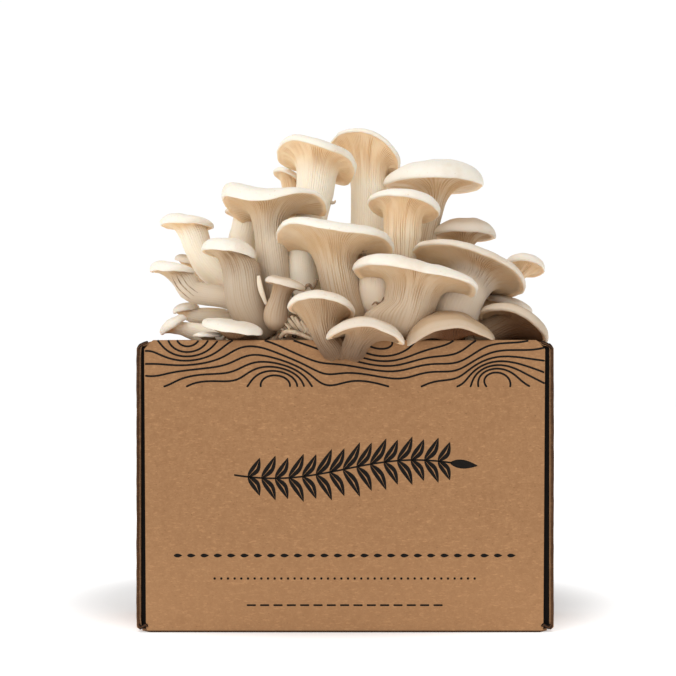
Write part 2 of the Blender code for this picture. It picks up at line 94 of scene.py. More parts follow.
# Light: evenly from the sky, and from two wide lamps, to the front left and overhead. Each row is a name, the
# degrees to the right of the camera, the degrees up, the lamp's width in degrees, and its strength.
SKY = 0.45
LIGHTS = (("front", -48, 28, 60, 0.32), ("top", -15, 70, 60, 0.3))
BACKDROP_GLOW = 1.02
# The floor's glow is painted light, least round the box, where it leaves a soft painted shadow
FLOOR_GLOW = 0.04  # round the box, where it's least
PAPER_GLOW = 0.55  # farther off, where the photograph is white
SHADOW_MIDDLE = (-12.0, 125.0)
SHADOW_HALF = (215.0, 235.0)
SHADOW_EDGE = (0.62, 1.05)  # where the floor begins and ends to brighten, as shares of SHADOW_HALF

SHARP_ANGLE = math.radians(35)  # an edge that turns by more isn't shaded as a rounded one
BEVEL_ANGLE = math.radians(40)  # and one that turns by more than this is bevelled
FLUTE_PITCH = 1.5  # distance between the flutes round a neck
FOOT_MIDDLE = 3  # how far the middle of the cluster's foot is to the right
SMALL_CAP = 16.0  # a cap of less than this half width is built with fewer points
MARGIN_DEGREES = (25, 50, 75, 100, 122, 142)  # the rings round a cap's rolled-in margin
FLESH_FACTS = ("groove", "under", "down", "foot", "low", "deep", "pale", "tan", "shade")


@dataclass
class Mushroom:
    """One fruit body. Lengths in millimetres, angles in degrees; the fields up to flare are the CAD's."""

    name: str
    cap: tuple  # middle of the rim
    size: tuple  # half width and half depth of the rim
    stem: list  # (x, y, z, radius) from the foot up to the neck
    roll: float = 0  # right side down
    pitch: float = 0  # front edge up
    dome: float = 9  # height of the cap over its rim
    edge: float = 2.5  # 2 is a round profile, more is a blunter edge
    dip: float = 0  # how far the middle of the cap sinks
    peak: float = 0  # how far the dome leans to its right side
    lip: float = 1.15  # the rolled-in margin
    arch: float = 0  # sides of the rim up, front and back down
    wave: float = 0  # three waves round the rim
    wave_turn: float = 0
    flare: float = 0.5  # how far the gills run in before they turn down the stem
    rise: float = 0.85  # how far up the stem keeps its own width
    flutes: float = 1.0  # strength of the flutes on the stem
    tan: float = 0.0  # how much browner than the others
    shade: float = 0.0  # how dark the underside is: painted shade under the cap and down the stem
    pale: float = 0.0  # how much paler and smoother the stem is: partly its own colour, partly painted light on stems in shade
    spread: float = 0.0  # how far the foot runs out to the left


MUSHROOMS = [
    # Front row
    Mushroom("mushroom_front_edge", (12.5, -60, 178.4), (23.5, 14), [(3, -54, 164.5, 5),
             (4.5, -55, 168, 7.6), (6.5, -56, 172.5, 7.6)], roll=4, pitch=14, dome=9, edge=2.3, arch=-3.5,
             flare=0.4, flutes=1.5, tan=0.9, shade=0.45),
    Mushroom("mushroom_front_low", (-14, -47, 194), (20.5, 17), [(-4, -53, 164.5, 4.5), (-6, -53, 168.5, 7),
             (-10, -51, 174, 6.8), (-12, -49, 181, 8.4)], roll=6, pitch=24, dome=8, edge=2.4, arch=-1,
             flare=0.3, rise=0.2, flutes=1.5, tan=0.45, shade=0.5),
    Mushroom("mushroom_front_bulb", (-36, -40, 208.5), (12.5, 11), [(-42, -36, 182, 4),
             (-42, -37, 186.5, 6.9), (-41.5, -38, 192, 7.3), (-39.5, -39, 200, 5.6)], roll=14, pitch=4,
             dome=4.5, tan=0.8, shade=0.7, pale=0.1),
    Mushroom("mushroom_left_flat", (-68, -44, 182), (18.5, 15), [(-60, -35, 176, 6), (-64, -40, 178.5, 6)],
             roll=9, pitch=-4, dome=5.5, edge=3, flare=0.3, tan=0.2, shade=1.0),
    Mushroom("mushroom_front_right", (43, -40, 211.6), (38.5, 27), [(33, -35, 176, 8), (35, -36, 184, 12),
             (38, -37, 192, 14.5), (40, -37, 200, 16)], roll=10.5, pitch=15.5, dome=9, edge=2.6, peak=-0.3,
             lip=1.4, wave=1, wave_turn=270, flare=0.45, tan=0.15, shade=0.3, pale=0.12, spread=12),
    Mushroom("mushroom_front_middle", (-6, -24, 234.5), (36.5, 29), [(4, -18, 176, 9), (4, -20, 190, 11),
             (-1, -22, 204, 12), (-4, -23, 219, 12.5)], roll=8.5, pitch=20.5, dome=8.5, edge=2.5, wave=2.5,
             wave_turn=270, flare=0.6, rise=0.45, shade=0.28),
    Mushroom("mushroom_right_arched", (63, -46, 180), (27, 16), [(64, -37, 176, 9), (64, -39, 178, 9)],
             roll=-4, pitch=-8, dome=12, edge=2.2, peak=-0.25, arch=-6.5, flare=0.3, tan=1.7, shade=1.25),
    # Left side
    Mushroom("mushroom_left_front", (-71, -24, 228), (17, 15), [(-49, -22, 176, 9), (-56, -23, 188, 10.6),
             (-61, -24, 200, 11.6), (-63, -24, 215, 11.3)], roll=9, pitch=11, dome=9, edge=2.5, flutes=0.5,
             shade=0.58, pale=0.2),
    Mushroom("mushroom_left_low", (-105, -18, 184), (9.5, 9), [(-74, -16, 176, 6), (-82, -16, 178, 6.5),
             (-92, -16, 180.5, 5.5), (-100, -17, 182.5, 4)], roll=-34, dome=5, flare=0.3, flutes=0.4,
             tan=0.15, pale=0.9),
    Mushroom("mushroom_left_curved", (-107, -8, 218), (14, 13), [(-52, -6, 184, 7), (-62, -7, 197, 7),
             (-74, -8, 202, 7), (-86, -8, 203.5, 6.8), (-95, -8, 206, 7.5), (-99, -8, 212, 7.6)], roll=3,
             pitch=5, dome=5.5, edge=2.8, peak=-0.3, flare=0.6, rise=0.5, flutes=0.3, shade=0.35, pale=0.5),
    Mushroom("mushroom_left_tiny", (-83, -36, 178), (9, 8), [(-76, -34, 168, 3), (-79, -35, 172, 3)],
             dome=2.5, edge=2.2, lip=0.8),
    # Right side
    Mushroom("mushroom_right_large", (77, -8, 218.6), (37, 30), [(58, -12, 176, 10),
             (64.5, -19, 187.5, 15.6), (68, -19, 197, 16.2), (76, -12, 208, 13)], roll=19, pitch=24, dome=8,
             edge=2.4, flare=0.5, flutes=0.3, tan=0.75, shade=0.5, pale=0.85),
    Mushroom("mushroom_right_low", (104, -18, 183), (23, 20), [(80, -12, 176, 8), (86, -12, 178, 9),
             (92, -12, 181, 9)], roll=26, pitch=26, dome=9.5, edge=2.3, lip=1.4, arch=-1, flare=0.4, tan=1.3,
             shade=1.0),
    # Tall middle
    Mushroom("mushroom_tall_left", (-43, -10, 258.2), (33, 27), [(-38, -6, 176, 7), (-41, -7, 200, 9),
             (-44, -9, 222, 10), (-46, -10, 240, 9.5)], roll=2, pitch=16, dome=8.5, edge=2.8, dip=2.5,
             peak=-0.7, arch=1.5, wave=3.6, wave_turn=210, flare=0.5, shade=0.42, pale=0.4),
    Mushroom("mushroom_upper_middle", (37, -2, 257.3), (23, 19), [(32, 6, 176, 6), (34, 4, 205, 6),
             (36, 0, 226, 8.5), (36, -1, 240, 11.3)], roll=9, pitch=24, dome=8.5, peak=0.2),
    Mushroom("mushroom_top_left", (-17.5, 15, 288), (26, 24), [(-21, 6, 176, 5), (-23, -3, 200, 9),
             (-26.5, -3, 224, 11.4), (-21.3, 9, 250, 10), (-19, 13.5, 268, 12.2)], roll=18, pitch=24.5,
             dome=8, edge=2.6, arch=-1, wave=2.2, wave_turn=270, flutes=0.6, pale=1.0),
    Mushroom("mushroom_left_upper", (-99, 8, 247.2), (17, 14), [(-52, 4, 176, 6), (-62, 6, 201, 8.5),
             (-72, 8, 211, 9), (-84, 8, 221, 9.4), (-91, 8, 232, 8.8), (-94, 8, 240, 9)], roll=3, pitch=10,
             dome=6.5, peak=-0.2, flutes=0.45, pale=0.8),
    Mushroom("mushroom_tall_left_back", (-62, 17, 253.5), (14, 12), [(-46, 14, 176, 6), (-59, 16, 210, 8.5),
             (-64.5, 17, 232, 9.6), (-62, 17, 245, 9.5)], roll=14, pitch=12, dome=3, lip=1, flutes=0.3,
             tan=0.2, pale=1.0),
    Mushroom("mushroom_left_small", (-99, 4, 194), (8.5, 8), [(-64, 6, 180, 5), (-74, 5, 188.5, 5.6),
             (-84, 4, 190, 5.6), (-92, 4, 190.5, 5)], roll=-10, pitch=6, dome=4.5, flare=0.4, flutes=0.4,
             tan=0.3, pale=0.9),
    Mushroom("mushroom_left_behind", (-99, 22, 225), (9, 8), [(-58, 18, 182, 6), (-72, 20, 204, 7),
             (-80, 22, 213, 7), (-90, 22, 219, 6.5)], roll=14, dome=4, tan=0.7),
    Mushroom("mushroom_top_right", (57, 28, 274), (32, 27), [(44, 24, 176, 8), (48, 27, 210, 7.5),
             (52.5, 28, 240, 6.4), (57, 28, 260, 6.6)], pitch=9, dome=15.5, edge=2.1, peak=0.15, tan=0,
             shade=0.3),
    Mushroom("mushroom_top_back", (12.8, 38, 291.5), (24.2, 24), [(20, 22, 176, 9), (17, 28, 215, 12),
             (15.5, 31, 238, 12), (15.5, 32, 254, 11.3), (16, 34, 270, 11.5)], roll=26, pitch=42, dome=7,
             edge=2.4, rise=0.4, pale=0.75),
    Mushroom("mushroom_top_left_small", (-37, 38, 280), (9.5, 8), [(-24, 30, 176, 4), (-28, 32, 220, 4.5),
             (-34, 36, 266, 5)], roll=24, pitch=25, dome=4),
    Mushroom("mushroom_right_back", (76, 28, 241.8), (21, 16), [(60, 24, 176, 7), (68, 28, 205, 6.5),
             (74, 29, 230, 6)], roll=1.5, pitch=12, dome=11.5, edge=1.9, peak=0.15, tan=0.7, shade=0.5),
    Mushroom("mushroom_right_tucked", (104, 12, 197), (15, 13), [(76, 12, 177, 5), (86, 12, 184, 5.5),
             (96, 12, 190, 5)], roll=18, pitch=4, dome=5, tan=0.6),
    Mushroom("mushroom_right_far", (114, 18, 221), (13, 13), [(78, 22, 178, 5), (88, 22, 197, 5),
             (103, 20, 211, 4.6)], roll=8, pitch=25, dome=7.5, edge=2.3, tan=0.3),
    # Hidden behind the others
    Mushroom("mushroom_back_left", (-46, 46, 203), (17, 14), [(-42, 24, 176, 6), (-43, 32, 186, 6.5),
             (-45, 38, 194, 7)], roll=-4, pitch=-16, dome=7),
    Mushroom("mushroom_back_middle", (4, 50, 212), (17, 15), [(0, 22, 176, 6), (1, 30, 188, 6.5),
             (3, 40, 202, 7)], roll=5, pitch=-18, dome=7),
    Mushroom("mushroom_back_right", (58, 47, 202), (17, 14), [(42, 22, 176, 6), (48, 32, 186, 6.5),
             (55, 39, 193, 7)], roll=8, pitch=-14, dome=7),
    # Remains between the stems
    Mushroom("torn_stub", (20, -22, 220), (9, 8), [(20, -20, 178, 5), (20, -22, 190, 6.8),
             (19.5, -24, 199, 9.4), (19.5, -24.5, 207, 10.6)], dome=2, edge=3, lip=0.6, flare=0.3,
             flutes=0.15, tan=0.6, pale=1.0),
]


# ---- Numbers ----


def smooth(low, high, x):
    """0 below low, 1 above high, and an even rise between them."""
    t = np.clip((x - low) / (high - low), 0, 1)
    return t * t * (3 - 2 * t)


def mix(a, b, share):
    return a * (1 - share) + b * share


def waves(rng, counts, height):
    """A function of an angle and of a place along it: the sum of a few seeded waves round a closed ring."""
    terms = [(k, rng.uniform(0, TURN), rng.uniform(-3, 3), rng.uniform(0.4, 1)) for k in counts]
    total = sum(term[3] for term in terms)

    def value(angle, along=0):
        return height * sum(w * np.sin(k * angle + p + q * along) for k, p, q, w in terms) / total

    return value


def bumps(rng, count, size, height):
    """A function of points in millimetres: the sum of seeded waves of about one size in all directions."""
    ways = rng.normal(size=(count, 3))
    ways /= np.linalg.norm(ways, axis=1)[:, None]
    ways *= TURN / (size * rng.uniform(0.6, 1.6, count))[:, None]
    starts = rng.uniform(0, TURN, count)

    def value(points):
        return height * np.sin(points @ ways.T + starts).sum(axis=-1) / math.sqrt(count)

    return value


def unit(vectors):
    return vectors / np.maximum(np.linalg.norm(vectors, axis=-1, keepdims=True), 1e-9)


# ---- Meshes ----


def wrap_quads(first, rows, cols):
    """Faces between the rows of a closed grid whose points are numbered from first."""
    i = np.arange(cols)
    j = (i + 1) % cols
    start = first + cols * np.arange(rows - 1)[:, None]
    return np.stack([start + i, start + j, start + cols + j, start + cols + i], -1).reshape(-1, 4)


def open_quads(first, rows, cols):
    """Faces of an open grid."""
    i = np.arange(cols - 1)
    start = first + cols * np.arange(rows - 1)[:, None]
    return np.stack([start + i, start + i + 1, start + cols + i + 1, start + cols + i], -1).reshape(-1, 4)


def seam_quads(rows, cols):
    """Faces from the last row of a closed grid back to its first."""
    i = np.arange(cols)
    j = (i + 1) % cols
    last = (rows - 1) * cols
    return np.stack([last + i, last + j, j, i], -1)


def capped_grid(rows, cols):
    """Faces of a closed grid, with one face over each of its ends."""
    i = np.arange(cols)[None]
    return [wrap_quads(0, rows, cols), i[:, ::-1], (rows - 1) * cols + i]


def fan(first, cols, middle):
    """Triangles from a ring to one point."""
    i = np.arange(cols)
    return np.stack([first + i, first + (i + 1) % cols, np.full(cols, middle)], -1)


def level_ring(flat, height):
    """A ring of (x, y) points at a height, which is one number or one for each point."""
    return np.concatenate([flat, np.broadcast_to(height, len(flat))[:, None]], axis=1)


def widening(first, cols, next_first, ratio):
    """Faces from a ring to the next one, which has ratio times as many points."""
    i = np.arange(cols)
    inner = np.stack([first + i, first + (i + 1) % cols], -1)
    outer = next_first + (ratio * i[:, None] + np.arange(ratio, -1, -1)) % (ratio * cols)
    return np.concatenate([inner, outer], axis=1)


def volume_sign(points, faces):
    """1 where the faces of a closed piece look outward, and -1 where they look inward."""
    total = 0.0
    for group in faces:
        a = points[group[:, 0]]
        for k in range(1, group.shape[1] - 1):
            total += np.einsum("ij,ij->i", a, np.cross(points[group[:, k]], points[group[:, k + 1]])).sum()
    return math.copysign(1, total)


def piece(name, points, faces, surface, slot, stands_for=(), rounded=True, closed=True, **facts):
    """A finished piece. Faces is a list of arrays, each of faces with the same number of corners."""
    points = np.asarray(points, dtype=np.float64)
    if closed and volume_sign(points, faces) < 0:
        faces = [group[:, ::-1] for group in faces]
    sizes = np.concatenate([np.full(len(group), group.shape[1]) for group in faces])
    corners = np.concatenate([group.ravel() for group in faces])
    mesh = bpy.data.meshes.new(name)
    mesh.vertices.add(len(points))
    mesh.vertices.foreach_set("co", (points * MM).ravel())
    mesh.loops.add(len(corners))
    mesh.loops.foreach_set("vertex_index", corners.astype(np.int32))
    mesh.polygons.add(len(sizes))
    mesh.polygons.foreach_set("loop_start", np.concatenate([[0], np.cumsum(sizes)[:-1]]).astype(np.int32))
    mesh.update(calc_edges=True)
    mesh.validate()
    for fact, values in facts.items():
        layer = mesh.attributes.new(fact, "FLOAT", "POINT")
        layer.data.foreach_set("value", np.ascontiguousarray(values, dtype=np.float32))
    mesh.polygons.foreach_set("use_smooth", np.full(len(mesh.polygons), rounded))
    mesh.materials.append(surface)
    made = bpy.data.objects.new(name, mesh)
    bpy.context.scene.collection.objects.link(made)
    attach(made, "root")
    if stands_for:
        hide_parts(*stands_for)
    return made


class Shell:
    """Collects closed grids of points and their facts into one mesh."""

    def __init__(self):
        self.points = []
        self.faces = []
        self.facts = {}
        self.count = 0

    def add(self, rings, **facts):
        """Rings: rows x columns x 3. Each fact is a number or an array of rows x columns."""
        rows, cols, _ = rings.shape
        first = self.count
        end = first + rows * cols
        middles = [rings[0].mean(axis=0), rings[-1].mean(axis=0)]
        self.points.append(np.concatenate([rings.reshape(-1, 3), middles]))
        self.faces.append(wrap_quads(first, rows, cols))
        self.faces.append(fan(first, cols, end)[:, ::-1])
        self.faces.append(fan(end - cols, cols, end + 1))
        for fact, values in facts.items():
            grid = np.broadcast_to(np.asarray(values, dtype=float), (rows, cols))
            tail = [grid[0].mean(), grid[-1].mean()]
            self.facts.setdefault(fact, []).append(np.concatenate([grid.ravel(), tail]))
        self.count = end + 2

    def finish(self, name, surface, slot, stands_for=()):
        points = np.concatenate(self.points)
        facts = {fact: np.concatenate(parts) for fact, parts in self.facts.items()}
        return piece(name, points, self.faces, surface, slot, stands_for, **facts)


def curve_at(points, t):
    """A smooth curve through points, t from 0 to 1. Each point is a tuple of numbers."""
    last = len(points) - 1
    i = min(int(t * last), last - 1)
    u = t * last - i
    p0, p1, p2, p3 = (np.array(points[k], dtype=float) for k in (max(i - 1, 0), i, i + 1, min(i + 2, last)))
    slope_in = (p2 - p0) / 2
    slope_out = (p3 - p1) / 2
    return (
        (2 * u**3 - 3 * u**2 + 1) * p1
        + (u**3 - 2 * u**2 + u) * slope_in
        + (3 * u**2 - 2 * u**3) * p2
        + (u**3 - u**2) * slope_out
    )


def curve_direction(points, t):
    step = curve_at(points, min(t + 0.01, 1)) - curve_at(points, max(t - 0.01, 0))
    return unit(step[:3])


def tube(path, places, cols, across=(1, 0, 0), swell=None, squash=1.0):
    """Rings along a path of (x, y, z, radius), square to it and without twist."""
    across = np.array(across, dtype=float)
    angles = TURN * np.arange(cols) / cols
    rings = []
    for t in places:
        x, y, z, radius = curve_at(path, t)
        up = curve_direction(path, t)
        across = unit(across - across.dot(up) * up)
        side = np.cross(up, across)
        reach = radius * (1 + (swell(angles, t) if swell else 0))
        ring = np.cos(angles)[:, None] * across + squash * np.sin(angles)[:, None] * side
        rings.append(np.array([x, y, z]) + np.broadcast_to(reach, angles.shape)[:, None] * ring)
    return np.array(rings)


# ---- Materials ----


class Nodes:
    """Short names for building a material's nodes."""

    def __init__(self, name, roughness, **fixed):
        self.material = bpy.data.materials.new(name)
        self.material.use_nodes = True
        self.tree = self.material.node_tree
        self.shader = self.tree.nodes["Principled BSDF"]
        for label, value in {"Roughness": roughness, **fixed}.items():
            self.shader.inputs[label.replace("_", " ")].default_value = value
        self.place = self.add("ShaderNodeTexCoord").outputs["Object"]

    def add(self, kind, inputs=(), **settings):
        node = self.tree.nodes.new(kind)
        for key, value in settings.items():
            setattr(node, key, value)
        for key, value in dict(inputs).items():
            if isinstance(value, bpy.types.NodeSocket):
                self.tree.links.new(value, node.inputs[key])
            else:
                node.inputs[key].default_value = value
        return node

    def fact(self, name):
        return self.add("ShaderNodeAttribute", attribute_name=name).outputs["Fac"]

    def noise(self, size, detail=3.0, rough=0.55, stretch=None, seed=0.0):
        """Noise whose blots are about size millimetres, or size times stretch along each axis."""
        place = self.place
        if stretch:
            inputs = {"Vector": place, "Scale": [1 / s for s in stretch]}
            place = self.add("ShaderNodeMapping", inputs).outputs[0]
        inputs = {"Vector": place, "Scale": 1000 / size, "Detail": detail, "Roughness": rough, "W": seed}
        return self.add("ShaderNodeTexNoise", inputs, noise_dimensions="4D").outputs["Fac"]

    def ramp(self, value, low, high, to_low, to_high):
        """Goes softly from to_low to to_high while the value goes from low to high."""
        inputs = {0: value, 1: low, 2: high, 3: to_low, 4: to_high}
        return self.add("ShaderNodeMapRange", inputs, interpolation_type="SMOOTHSTEP").outputs[0]

    def blend(self, share, a, b):
        # sockets 6 and 7 are the two colours, and output 2 is the colour between them
        return self.add("ShaderNodeMix", {0: share, 6: a, 7: b}, data_type="RGBA").outputs[2]

    def blots(self, tone, colour, noise, low, high, most=1.0):
        """The tone, moved towards a colour where the noise is high."""
        return self.blend(self.ramp(noise, low, high, 0, most), tone, colour)

    def tint(self, tone, colour, fact, most=1.0):
        """The tone, moved towards a colour where the mesh has the fact."""
        share = self.add("ShaderNodeMath", {0: self.fact(fact), 1: most}, operation="MULTIPLY").outputs[0]
        return self.blend(share, tone, colour)

    def bump(self, heights):
        """Heights: (value, millimetres) pairs, stacked."""
        normal = None
        for value, height in heights:
            inputs = {"Height": value, "Distance": height * MM, "Strength": 1.0}
            if normal:
                inputs["Normal"] = normal
            normal = self.add("ShaderNodeBump", inputs).outputs["Normal"]
        self.link("Normal", normal)

    def link(self, label, socket):
        self.tree.links.new(socket, self.shader.inputs[label])


def rgb(red, green, blue):
    """A colour as it's read off a screen, 0 to 255, in the linear values that shaders use."""

    def linear(value):
        value /= 255
        return value / 12.92 if value <= 0.04045 else ((value + 0.055) / 1.055) ** 2.4

    return (linear(red), linear(green), linear(blue), 1)


def mushroom_material():
    """Cream caps, tan gills and fluted stems, with painted shade and painted light. The facts on the mesh say
    which is where.
    """
    n = Nodes("mushroom_flesh", 0.55, Subsurface_Weight=0.25, Subsurface_Scale=0.0025,
              Subsurface_Radius=(1.0, 0.62, 0.36), Specular_IOR_Level=0.3)
    cap = n.blend(n.noise(9, 4, seed=3), rgb(250, 244, 233), rgb(242, 232, 215))
    cap = n.blots(cap, rgb(226, 204, 174), n.noise(28, 4), 0.52, 0.72, 0.45)
    cap = n.blots(cap, rgb(205, 176, 140), n.noise(1.6, 2, seed=5), 0.64, 0.74, 0.4)
    cap = n.tint(cap, rgb(186, 158, 126), "tan", 0.8)
    # painted shade: the gills and the stems are darker in their grooves
    gills = n.tint(rgb(250, 224, 188), rgb(216, 168, 114), "groove")
    gills = n.blots(gills, rgb(232, 190, 138), n.noise(14, 3, seed=2), 0.3, 0.7, 0.5)
    stem = n.tint(rgb(250, 234, 208), rgb(212, 178, 136), "groove")
    stem = n.blots(stem, rgb(228, 206, 176), n.noise(20, 3, seed=8), 0.45, 0.75, 0.4)
    # paler stems: partly their own colour, partly painted light where caps shade them
    stem = n.tint(stem, rgb(255, 244, 225), "pale", 0.9)
    under = n.tint(gills, stem, "down")
    # painted shade: the lower the part, the darker
    under = n.tint(under, rgb(180, 144, 106), "low", 0.6)
    under = n.tint(under, rgb(176, 138, 98), "tan", 0.3)
    # painted shade, darkest where the stems go down into the box's opening
    under = n.tint(under, rgb(104, 80, 58), "deep", 0.9)
    # painted shade under the caps and down the stems
    under = n.tint(under, rgb(84, 50, 24), "shade", 0.85)
    # the underside takes the gills' tan: partly their own colour, partly painted shade and bounced light
    # under the caps
    whole = n.tint(cap, under, "under")
    # the foot of each stem: partly its own browner colour, partly painted shade towards the box
    n.link("Base Color", n.tint(whole, rgb(122, 94, 66), "foot", 0.6))
    n.link("Roughness", n.ramp(n.noise(6, 3, seed=6), 0.3, 0.7, 0.48, 0.66))
    n.bump([(n.noise(0.8, 3), 0.07), (n.noise(2.0, 3, seed=9), 0.12), (n.noise(4.5, 3, seed=4), 0.22)])
    return n.material


def base_material():
    """The fused foot: tan and brown, with the fibres that run up it."""
    n = Nodes("mushroom_base", 0.8, Subsurface_Weight=0.15, Subsurface_Scale=0.002)
    fibres = n.noise(2.2, 4, stretch=(1, 1, 5))
    tone = n.blots(rgb(118, 88, 60), rgb(196, 170, 138), fibres, 0.35, 0.65)
    tone = n.blots(tone, rgb(110, 80, 52), n.noise(12, 3, seed=2), 0.45, 0.7, 0.7)
    tone = n.tint(tone, rgb(226, 204, 174), "pale")
    # painted shade: near black on the pins behind the tangle
    tone = n.tint(tone, rgb(52, 34, 20), "dark")
    n.link("Base Color", tone)
    n.bump([(fibres, 0.35), (n.noise(0.8, 3), 0.12)])
    return n.material


def kraft_material(name, light, dark):
    """Brown liner: long fibres, flecks and mottling. Where the mesh says, near black painted shade: a line
    along the lid's bottom bend, and the edges of the folds and tabs.
    """
    n = Nodes(name, 0.82, Specular_IOR_Level=0.2)
    paler = tuple(min(1.0, 1.32 * part) for part in light[:3]) + (1,)
    darker = tuple(0.5 * part for part in dark[:3]) + (1,)
    tone = n.blots(light, dark, n.noise(5, 5, 0.65), 0.3, 0.7)
    tone = n.blots(tone, light, n.noise(26, 3, seed=4), 0.35, 0.65, 0.35)
    tone = n.blots(tone, dark, n.noise(1.1, 3, 0.7, seed=11), 0.35, 0.65, 0.7)
    tone = n.blots(tone, paler, n.noise(0.9, 3, 0.6, stretch=(3, 3, 1), seed=7), 0.52, 0.7, 0.55)
    tone = n.blots(tone, darker, n.noise(0.8, 2, 0.5, stretch=(2, 2, 1), seed=9), 0.62, 0.74, 0.5)
    height = n.add("ShaderNodeSeparateXYZ", {"Vector": n.place}).outputs["Z"]
    tone = n.blend(n.ramp(height, 0, 0.08, 0.22, 0), tone, paler)  # painted light: a little paler near the floor
    # painted shade, near black: under the lid's bottom bend and at the edges of the folds and tabs
    tone = n.tint(tone, rgb(24, 13, 6), "crease")
    n.link("Base Color", tone)
    n.bump([(n.noise(0.6, 3, seed=1), 0.05), (n.noise(4, 4, seed=2), 0.1)])
    return n.material


def ink_material():
    """Dull black ink."""
    n = Nodes("box_ink", 0.7, Specular_IOR_Level=0.15)
    n.link("Base Color", n.blots(rgb(12, 9, 7), rgb(24, 18, 13), n.noise(0.7, 3), 0.35, 0.7))
    n.bump([(n.noise(0.6, 3, seed=1), 0.03)])
    return n.material


def mycelium_material():
    """White felt of mycelium over brown sawdust."""
    n = Nodes("mycelium", 0.95, Subsurface_Weight=0.1, Subsurface_Scale=0.001)
    felt = n.blots(rgb(246, 242, 234), rgb(222, 208, 186), n.noise(3, 5, 0.7), 0.35, 0.7)
    n.link("Base Color", n.blots(felt, rgb(150, 112, 74), n.noise(9, 5, 0.7, seed=3), 0.6, 0.72, 0.8))
    n.bump([(n.noise(1.2, 4), 0.5), (n.noise(0.4, 3, seed=2), 0.15)])
    return n.material


def film_material():
    """Clear film with a milky tint, softly creased."""
    n = Nodes("bag_film", 0.3, Alpha=0.45)
    n.link("Base Color", n.blend(n.noise(10, 3), rgb(250, 244, 234), rgb(236, 228, 214)))
    n.bump([(n.noise(7, 3), 0.3)])
    return n.material


# ---- Mushrooms ----


def cap_frame(m):
    """Turns the cap's own directions into the world's."""
    roll = Matrix.Rotation(math.radians(m.roll), 3, "Y")
    pitch = Matrix.Rotation(math.radians(-m.pitch), 3, "X")
    return np.array(roll @ pitch)


def flute_pattern(rng, flutes, angle, along):
    """Height of the flutes, 0 to 1, and the strength of each. Each parts in two on its way to the margin."""
    wander = waves(rng, (1, 2, 3, 5), 1.6)(angle, along)
    phase = flutes * angle + wander * 1.3
    twins = (0.5 + 0.5 * np.cos(2 * phase + 1.0)) ** 0.7
    single = (0.5 + 0.5 * np.cos(phase)) ** 0.7
    ridge = mix(single, twins, 1 - smooth(0.35, 0.95, along))
    place = phase / TURN - 0.5
    step = np.floor(place).astype(int)
    change = smooth(0.3, 0.7, place - step)
    pair = (step % flutes, (step + 1) % flutes)
    each = rng.uniform(0.3, 1.1, flutes)
    patches = waves(rng, (3, 5, 7), 1.0)(angle, along)
    length = rng.uniform(2.5, 7, flutes)
    start = rng.uniform(0, TURN, flutes)
    even = mix(*[each[k] for k in pair], change)
    broken = mix(*[np.sin(start[k] + length[k] * along) for k in pair], change)
    return ridge, np.clip(even + 0.25 * patches + 0.35 * broken, 0.05, 1.25)


